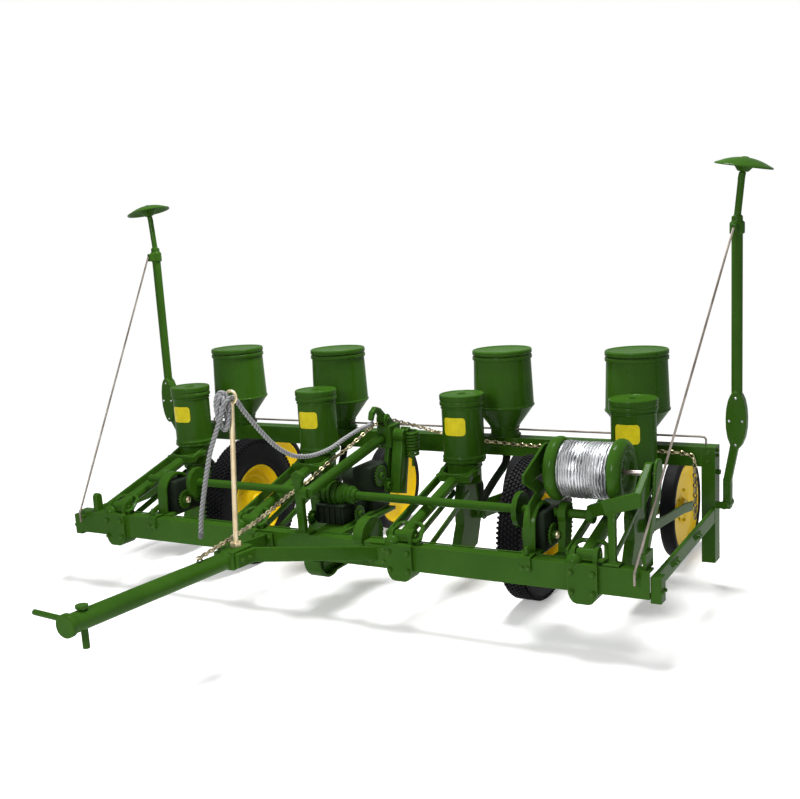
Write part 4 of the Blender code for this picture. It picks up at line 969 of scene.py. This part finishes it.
def stranded(name, path, radius, lay=0.070, strands=3, closed=False):
    """A twisted rope along a path: lobes that turn once in each lay length."""
    sides = strands * 8
    tangents = []
    for i, point in enumerate(path):
        before = path[i - 1] if i or closed else point
        after = path[(i + 1) % len(path)] if i + 1 < len(path) or closed else point
        tangents.append((after - before).normalized())
    side = tangents[0].orthogonal().normalized()
    rings, travelled = [], 0.0
    for i, (point, along) in enumerate(zip(path, tangents)):
        if i:
            travelled += (point - path[i - 1]).length
        side = (side - along * side.dot(along)).normalized()
        other = along.cross(side)
        twist = math.tau * travelled / lay
        ring = []
        for k in range(sides):
            angle = math.tau * k / sides
            lobe = abs(math.cos(strands * angle / 2))
            reach = radius * (0.74 + 0.28 * lobe ** 0.7)
            spot = point + (side * math.cos(angle + twist) + other * math.sin(angle + twist)) * reach
            ring.append((spot, lobe))
        rings.append(ring)

    def build(work):
        # Each vertex keeps its lobe as crown, from which the rope's material paints shade into the grooves.
        layer = work.verts.layers.float.new("crown")
        made = []
        for ring in rings:
            row = []
            for spot, lobe in ring:
                vert = work.verts.new(spot)
                vert[layer] = lobe
                row.append(vert)
            made.append(row)
        pairs = list(zip(made, made[1:])) + ([(made[-1], made[0])] if closed else [])
        for row, following in pairs:
            for k in range(sides):
                work.faces.new((row[k - 1], row[k], following[k], following[k - 1]))
        if not closed:
            work.faces.new(made[0])
            work.faces.new(made[-1])
    return mesh_object(name, build, ROPE, sharp=60)


def trip_rope():
    """The slack rope, the hitch that holds it at the eye, and its whipped end."""
    path = smooth_path(rope_route(), 0.007)
    rope = stranded("trip_rope_yarn", path, ROPE_RADIUS)
    body = body_of("trip_rope")
    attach(rope, body)
    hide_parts("trip_rope")
    eye = at(-0.030, STANDARD_BACK + 0.030, ROPE_EYE_Z - 0.062)
    loops = []
    for turn, tall, wide in ((0.3, 0.092, 0.034), (1.1, 0.080, 0.030), (2.1, 0.070, 0.036)):
        ring = []
        for k in range(48):
            a = math.tau * k / 48
            spot = Vector((wide * math.cos(a), 0.012 * math.sin(2 * a), tall * math.sin(a)))
            ring.append(eye + Matrix.Rotation(turn, 3, "Z") @ spot)
        loops.append(stranded("loop", ring, ROPE_RADIUS * 0.92, closed=True))
    hitch = merged("rope_hitch", loops)
    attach(hitch, body)
    tail, before = path[-1], path[-6]
    way = (tail - before).normalized()
    sleeve = [(ROPE_RADIUS * 0.3, -0.002), (ROPE_RADIUS * 0.98, 0.000), (ROPE_RADIUS * 1.06, 0.004),
              (ROPE_RADIUS * 1.06, 0.026), (ROPE_RADIUS * 0.98, 0.030), (ROPE_RADIUS * 0.3, 0.032)]
    whipping = lathe("rope_whipping", sleeve, tail - way * 0.030, ROPE, way, 24)
    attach(whipping, body)


# ---------------------------------------------------------------- chain and rods
CHAIN_PITCH = 0.0280
CHAIN_WIRE = 0.0050


def ride_on_frame(*pieces):
    for piece in pieces:
        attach(piece, "frame")


def marker_chain():
    """The long chain from the drawbar over the lift head to the right end, with its ring."""
    front = route_of(
        (0.000, -1.010, 0.635), (-0.030, -0.838, 0.636), (-0.060, -0.648, 0.640), (-0.110, -0.369, 0.650),
        (-0.155, -0.043, 0.690), (-0.176, 0.189, 0.719), (-0.160, 0.382, 0.783), (-0.070, 0.468, 0.859),
        (0.000, 0.649, 0.958), (0.020, 0.769, 0.967))
    rear = route_of(
        (0.030, 0.800, 0.962), (0.060, 0.900, 0.925), (0.100, 1.020, 0.880), (0.180, 1.090, 0.838),
        (0.400, 1.106, 0.800), (0.588, 1.108, 0.786), (0.878, 1.108, 0.776), (1.250, 1.108, 0.774),
        (1.594, 1.108, 0.782), (1.720, 1.108, 0.776), (1.761, 1.106, 0.755), (1.768, 1.100, 0.700),
        (1.770, 1.100, 0.600), (1.770, 1.100, 0.462))
    for name, route in (("marker_chain_front", front), ("marker_chain_rear", rear)):
        run = grown(curve_of(name, smooth_path(route, 0.02)), CHAIN_TREE,
                    {"Pitch": CHAIN_PITCH, "Wire": CHAIN_WIRE}, name)
        ride_on_frame(run)
    loop = ring_points(at(1.770, 1.100, 0.434), 0.024, whole_turn(24))
    ring = swept("chain_ring", loop, 0.004, CHAIN, closed=True)
    eye = ring_points(at(0.0, -1.010, 0.612), 0.018, whole_turn(20))
    ride_on_frame(ring, swept("chain_eye", eye, 0.005, GREEN, closed=True))


def rear_rod():
    """The long wire rod above the rear beam, bent down at both ends."""
    route = route_of(
        (-1.650, 1.175, 0.815), (-1.650, 1.178, 0.838), (-1.640, 1.180, 0.846), (-1.615, 1.180, 0.848),
        (0.100, 1.180, 0.856), (1.780, 1.180, 0.862), (1.802, 1.180, 0.859), (1.811, 1.179, 0.848),
        (1.811, 1.177, 0.815))
    ride_on_frame(swept("rear_wire_rod", route, 0.006, STAY))


def lift_spring():
    """The coil spring that hangs between the lift head and its anchor."""
    top, bottom = at(0.170, 0.800, 0.905), at(0.164, 0.800, 0.755)
    turns, radius, steps = 8, 0.034, 20
    along = bottom - top
    side = along.orthogonal().normalized()
    other = along.normalized().cross(side)
    coil = [top + along * (k / (turns * steps))
            + (side * math.cos(math.tau * k / steps) + other * math.sin(math.tau * k / steps)) * radius
            for k in range(turns * steps + 1)]
    hooks = [top + Vector((-0.075, 0, 0.012)), top + Vector((-0.020, 0, 0.012)), *coil,
             bottom + Vector((0, 0, -0.020)), bottom + Vector((0, 0.0, -0.070))]
    ride_on_frame(swept("lift_spring", hooks, 0.0085, GREEN, 12))


# ---------------------------------------------------------------- row details
def row_details():
    """What stands on each row: a stirrup, a yoke bow, drag links, a sprocket and the two tubes."""
    for i, x in enumerate(ROWS, 1):
        loop = route_of((x - 0.094, 0.022, 0.478), (x - 0.072, 0.140, 0.536), (x + 0.070, 0.140, 0.536),
                        (x + 0.108, 0.022, 0.478))
        path = []
        for k, corner in enumerate(loop):
            for other in (loop[k - 1], loop[(k + 1) % 4]):
                path.append(corner + (other - corner).normalized() * 0.020)
        stirrup = swept("row_stirrup_%d" % i, path, 0.0125, GREEN, 14, closed=True)
        bow = [at(x, 0.745, 0.690) + Vector((0.112 * math.cos(a), 0.112 * math.sin(a), 0.012 * math.sin(a)))
               for a in [math.radians(165 + 15 * k) for k in range(15)]]
        yoke = strap("yoke_bow_%d" % i, bow, 0.034, 0.016, GREEN, (0, 0, 1))
        drags = [flat_bar("drag_link_%d_%s" % (i, tag), at(x + side * 0.060, 0.085, 0.345),
                          at(x + side * 0.046, 0.745, 0.560), 0.036, 0.012, GREEN)
                 for tag, side in SIDES]
        seed_route = route_of((x + 0.030, 0.860, 0.640), (x + 0.034, 0.930, 0.560),
                              (x + 0.020, 0.925, 0.440), (x, 0.890, 0.300), (x, 0.875, 0.215))
        # the seed and fertilizer tubes are in the near-black painted shade
        tube = swept("seed_tube_%d" % i, smooth_path(seed_route, 0.03), 0.020, SHADE_DARK)
        gear = sprocket("row_sprocket_%d" % i, at(x - 0.112, 0.800, 0.660), 0.062, 20)
        outlet = nearest_fertilizer(x)
        hose_route = route_of((outlet, 1.211, 0.702), (outlet, 1.200, 0.640),
                              ((x + outlet) / 2, 1.070, 0.530), (x, 0.950, 0.400), (x, 0.915, 0.315))
        hose = swept("fertilizer_tube_%d" % i, smooth_path(hose_route, 0.03), 0.024, SHADE_DARK, 16)
        ride_on_frame(stirrup, yoke, *drags, tube, gear, hose)


def nearest_fertilizer(x):
    """The side place of the fertilizer hopper that feeds the row at x."""
    return min((middle("fertilizer_hopper_%d" % i).x for i in range(1, 5)), key=lambda f: abs(f - x))


def sprocket(name, centre, radius, teeth):
    """A thin toothed wheel with a hub, on an X axle."""
    outline = []
    for k in range(teeth * 4):
        a = math.tau * k / (teeth * 4)
        reach = radius if k % 4 in (1, 2) else radius * 0.86
        outline.append((reach * math.cos(a), reach * math.sin(a)))

    def build(work):
        for depth in (-0.005, 0.005):
            ring = [work.verts.new((depth, y, z)) for y, z in outline]
            work.faces.new(ring)
        verts = list(work.verts)
        half = len(outline)
        for k in range(half):
            work.faces.new((verts[k - 1], verts[k], verts[half + k], verts[half + k - 1]))
        bmesh.ops.translate(work, verts=work.verts, vec=centre)
    wheel = mesh_object(name, build, GREEN)
    hub = lathe("hub", filleted([(0.008, -0.018), (0.022, -0.018), (0.022, 0.018), (0.008, 0.018)], 0.002),
                centre, GREEN, (1, 0, 0), 24)
    return merged(name, [wheel, hub])


def bar_details():
    """Clamps, gussets and bolts on the front bar, the drawbar and the braces."""
    pieces = []
    for tag, side in SIDES:
        x = side * CLAMP_X
        saddle = route_of((x, -0.008, 0.392), (x, -0.008, 0.463), (x, 0.082, 0.463), (x, 0.082, 0.400))
        pieces.append(strap("bar_clamp_" + tag, saddle, 0.056, 0.012, GREEN))
        pieces.append(swept("clamp_bolt_" + tag, [at(x, 0.012, 0.462), at(x, 0.010, 0.512)], 0.011, GREEN))
        x = side * YOKE_X
        pieces.append(slab("yoke_plate_" + tag, at(x - 0.060, -0.0235, 0.342), at(x + 0.060, -0.0165, 0.448),
                           GREEN))
    pieces.append(flat_bar("bar_lip", at(-1.70, 0.078, 0.4585), at(1.72, 0.078, 0.4585), 0.010, 0.006, GREEN,
                           (0, 0, 1), 0.0015))
    pieces.append(bolts("frame_bolts", frame_bolt_spots(), 0.0095))
    ride_on_frame(*pieces)


def frame_bolt_spots():
    """Bolt places and directions: on the rows' castings first, then on each side's plates."""
    forward = (0, -1, 0)
    spots = [(at(x + dx, -0.034, z), forward) for x in ROWS for dx in (-0.055, 0.055) for z in (0.322, 0.420)]
    for _, side in SIDES:
        outward = (side, 0, 0)
        spots += [(at(side * YOKE_X + dx, -0.0235, z), forward) for z in (0.362, 0.428)
                  for dx in (-0.042, 0.042)]
        spots += [(at(side * CLAMP_X + dx, -0.014, 0.410), forward) for dx in (-0.018, 0.018)]
        spots += [(at(side * 1.834, BEAM_FRONT, z), forward) for z in (0.735, 0.785)]
        spots += [(at(side * out, back, z), outward)
                  for out, back, z in ((1.881, 0.325, 0.401), (1.881, 0.365, 0.402), (1.881, 0.745, 0.419),
                                       (1.881, 0.785, 0.420), (1.900, 0.020, 0.352), (1.900, 0.066, 0.352),
                                       (1.8713, BEAM_BACK, 0.760), (1.8713, BEAM_BACK, 0.790),
                                       (0.0765, -0.790, 0.566), (0.0765, -0.730, 0.563))]
    return spots


def hopper_feet():
    """Base flanges and hold-down bolts where the fertilizer hoppers stand on the rear beam."""
    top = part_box("rear_beam")[1].z
    spots, flanges = [], []
    for i in range(1, 5):
        x = middle("fertilizer_hopper_%d" % i).x
        for k in range(4):
            a = math.tau * (k + 0.5) / 4
            spots.append((at(x + 0.104 * math.cos(a), BEAM_BACK + 0.036 * math.sin(a), top), (0, 0, 1)))
        flanges.append(slab("beam_saddle_%d" % i, at(x - 0.120, 1.128, top + 0.0004),
                            at(x + 0.120, 1.131, top - 0.060), GREEN, 0.001))
    ride_on_frame(bolts("hopper_bolts", spots, 0.008), *flanges)


def slabs(*rows):
    """Rounded boxes from rows of name, low place, high place, material and edge."""
    return [slab(name, at(*low), at(*high), material, edge) for name, low, high, material, edge in rows]


def sprockets(*rows):
    """Toothed wheels from rows of name, place, radius and teeth."""
    return [sprocket(name, at(*place), radius, teeth) for name, place, radius, teeth in rows]


def clutch_details():
    """Rings, gears, a ribbed case in near-black painted shade and a guard around the clutch on the middle of the
    lift shaft.
    """
    pieces = sprockets(("clutch_sprocket", (-0.140, SHAFT_BACK, SHAFT_Z), 0.072, 24),
                       ("clutch_gear", (-0.176, 0.190, 0.500), 0.046, 14),
                       ("drive_gear", (0.058, 0.330, 0.500), 0.052, 16))
    for name, x, radius in (("clutch_ring_outer", -0.104, 0.069), ("clutch_ring_middle", -0.072, 0.073),
                            ("clutch_ring_inner", -0.036, 0.069), ("clutch_ring_end", -0.008, 0.064)):
        band = filleted([(0.0604, -0.007), (radius, -0.007), (radius, 0.007), (0.0604, 0.007)], 0.003)
        pieces.append(lathe(name, band, at(x, SHAFT_BACK, SHAFT_Z), GREEN, (1, 0, 0), 48))
    collar = filleted([(0.0244, -0.020), (0.050, -0.020), (0.052, -0.012), (0.052, 0.004), (0.036, 0.012),
                       (0.034, 0.030), (0.0244, 0.030)], 0.004)
    pieces.append(lathe("clutch_collar", collar, at(0.052, SHAFT_BACK, SHAFT_Z), GREEN, (1, 0, 0), 40))
    # the case, its lid and its ribs are near-black painted shade
    pieces += slabs(("clutch_case", (-0.160, 0.200, 0.462), (0.030, 0.420, 0.566), SHADE_DARK, 0.012),
                    ("clutch_case_lid", (-0.150, 0.190, 0.566), (0.036, 0.330, 0.580), SHADE_DARK, 0.005))
    for k in range(5):
        fin = at(-0.140 + 0.038 * k, 0.196, 0.516)
        half = Vector((0, 0, 0.046))
        pieces.append(flat_bar("case_rib_%d" % k, fin - half, fin + half, 0.012, 0.008, SHADE_DARK, (1, 0, 0),
                               0.002))
    guard = ring_points(at(0.250, 0.100, 0.440), 0.118, [math.radians(8 + 12 * k) for k in range(15)])
    pieces.append(strap("drive_guard", guard, 0.060, 0.008, GREEN))
    wall = filleted([(0.0, -0.004), (0.112, -0.004), (0.112, 0.004), (0.0, 0.004)], 0.002, closed=False)
    pieces.append(lathe("drive_guard_wall", wall, at(0.276, 0.100, 0.440), GREEN, (1, 0, 0), 48,
                        closed=False))
    ride_on_frame(*pieces)


def drive_hoods():
    """A thick arch over the drive at each end of the lift shaft, and its gears on a case that is a near-black
    block of painted shade.
    """
    for tag, side in SIDES:
        x = side * 1.210
        arch = route_of((x, 0.085, 0.452), (x, 0.092, 0.560))
        arch += [at(x, 0.205 - 0.112 * math.cos(a), 0.592 + 0.098 * math.sin(a))
                 for a in [math.radians(12 * k) for k in range(15)]]
        hood = strap("drive_hood_" + tag, arch, 0.064, 0.020, GREEN)
        # the drive case is near-black painted shade
        blocks = slabs(
            ("drive_case_" + tag, (x - 0.060, 0.140, 0.446), (x + 0.066, 0.450, 0.655), SHADE_DARK, 0.022),
            ("drive_foot_" + tag, (x - 0.050, 0.070, 0.440), (x + 0.050, 0.400, 0.464), GREEN, 0.004))
        gears = sprockets(("drive_gear_%s_0" % tag, (x + 0.080, 0.205, 0.530), 0.058, 18),
                          ("drive_gear_%s_1" % tag, (x + 0.088, 0.330, 0.560), 0.072, 22),
                          ("drive_gear_%s_2" % tag, (x - 0.074, 0.230, 0.520), 0.060, 18))
        boss = filleted([(0.0, 0.0), (0.020, 0.0), (0.020, 0.012), (0.010, 0.018), (0.0, 0.018)], 0.003,
                        closed=False)
        cap = lathe("drive_cap_" + tag, boss, at(x + 0.098, 0.205, 0.530), BRASS, (1, 0, 0), 24,
                    closed=False)
        ride_on_frame(hood, *blocks, *gears, cap)


def middle_works():
    """The gear case with its neck and drum as near-black blocks of painted shade, its sprockets, the shelf, and
    the lift leg's plate.
    """
    blocks = slabs(("middle_case", (-0.075, 0.470, 0.455), (0.066, 0.690, 0.742), SHADE_DARK, 0.030),
                   ("middle_neck", (-0.030, 0.300, 0.470), (0.026, 0.500, 0.560), SHADE_DARK, 0.016),
                   ("middle_shelf", (-0.090, 0.070, 0.440), (0.090, 0.690, 0.462), GREEN, 0.004))
    barrel = filleted([(0.020, -0.100), (0.058, -0.100), (0.064, -0.080), (0.064, 0.010), (0.020, 0.010)],
                      0.006)
    drum = lathe("middle_drum", barrel, at(-0.080, 0.590, 0.640), SHADE_DARK, (1, 0, 0), 40)
    gears = sprockets(("middle_sprocket_upper", (0.076, 0.560, 0.672), 0.064, 20),
                      ("middle_sprocket_lower", (0.080, 0.630, 0.600), 0.044, 14))
    plate = flat_bar("lift_leg_plate", at(0.108, 0.770, 0.842), at(0.112, 0.690, 0.540), 0.096, 0.066, GREEN)
    ride_on_frame(*blocks, drum, *gears, plate)


def build_looks():
    trip_rope()
    painted_castings()
    seed_cans()
    fertilizer_cans()
    carrying_tyres()
    carrying_rims()
    press_wheels()
    marker_discs()
    marker_rivets()
    wire_reel()
    marker_chain()
    rear_rod()
    lift_spring()
    row_details()
    bar_details()
    hopper_feet()
    clutch_details()
    drive_hoods()
    middle_works()


# ---------------------------------------------------------------- camera, floor and lights
WHITE = (1.0, 1.0, 1.0, 1.0)
SKY_LIGHT = 0.29
FLOOR_LIFT = 0.31
FLOOR_RADIUS = 60.0


def camera():
    """A long-lens view from the right front, a little above the hoppers."""
    turn, tilt, roll = (math.radians(angle) for angle in (31.1, 11.4, 3.63))
    back = Vector((math.sin(turn) * math.cos(tilt), -math.cos(turn) * math.cos(tilt), math.sin(tilt)))
    right = Vector((math.cos(turn), math.sin(turn), 0))
    up = back.cross(right)
    level = right * math.cos(roll) - up * math.sin(roll)
    upright = right * math.sin(roll) + up * math.cos(roll)
    data = bpy.data.cameras.new("view")
    data.lens = 49.59
    data.sensor_width = 36.0
    data.shift_x = 0.0231
    data.shift_y = 0.0556
    data.clip_end = 200.0
    obj = bpy.data.objects.new("view", data)
    turned = Matrix((level, upright, back)).transposed().to_4x4()
    obj.matrix_world = Matrix.Translation(at(3.349, -4.834, 2.136)) @ turned
    bpy.context.scene.collection.objects.link(obj)
    bpy.context.scene.camera = obj


def seen_rays(graph):
    """1 for the rays that show a surface to the camera, in a mirror or through glass."""
    camera_ray, glossy, through = (graph.node("ShaderNodeLightPath", output=name) for name in
                                   ("Is Camera Ray", "Is Glossy Ray", "Is Transmission Ray"))
    return graph.node("ShaderNodeClamp", {}, {0: camera_ray + glossy + through})


def pale_floor():
    """A wide white floor that keeps soft shadows and fades into the backdrop."""
    material = bpy.data.materials.new("studio_floor")
    material.use_nodes = True
    nodes = material.node_tree.nodes
    graph = Graph(material.node_tree)
    nodes.remove(nodes["Principled BSDF"])
    where = graph.node("ShaderNodeTexCoord", output=3)
    away = graph.node("ShaderNodeVectorMath", {"operation": "LENGTH"}, {0: where}, output=1)
    seen = seen_rays(graph)
    paper = graph.node("ShaderNodeBsdfDiffuse", {}, {"Color": (0.88, 0.88, 0.88, 1.0)})
    lift, white = (graph.node("ShaderNodeEmission", {}, {"Color": WHITE, "Strength": strength})
                   for strength in (FLOOR_LIFT, 1.0))
    lifted = graph.node("ShaderNodeAddShader", {}, {0: paper, 1: lift})
    near = graph.node("ShaderNodeMixShader", {}, {0: seen, 1: paper, 2: lifted})
    both = graph.node("ShaderNodeMixShader", {}, {0: seen * away.clamped(3.5, 6.5), 1: near, 2: white})
    graph.tree.links.new(both.socket, nodes["Material Output"].inputs["Surface"])

    def build(work):
        bmesh.ops.create_circle(work, cap_ends=True, segments=96, radius=FLOOR_RADIUS)
    floor = mesh_object("studio_floor", build, material)


def lights():
    """A white surround, a wide soft lamp high behind the machine, and a lower fill in front."""
    world = bpy.data.worlds.new("studio")
    bpy.context.scene.world = world
    world.use_nodes = True
    graph = Graph(world.node_tree)
    back = world.node_tree.nodes["Background"]
    strength = SKY_LIGHT + seen_rays(graph) * (1.0 - SKY_LIGHT)
    link(graph, strength, back, "Strength")
    back.inputs["Color"].default_value = WHITE
    for name, place, size, power in (("key", (0.4, 1.3, 6.4), 2.2, 560.0),
                                     ("fill", (0.6, -6.6, 4.0), 2.6, 280.0)):
        lamp = bpy.data.lights.new(name, "AREA")
        lamp.shape = "DISK"
        lamp.size = size
        lamp.energy = power
        obj = bpy.data.objects.new(name, lamp)
        obj.matrix_world = Matrix.Translation(place) @ frame_of(Vector(place) - Vector((0, 0.2, 0.4)))
        bpy.context.scene.collection.objects.link(obj)


camera()
build_looks()
pale_floor()
lights()
bpy.context.scene.view_settings.view_transform = "Standard"
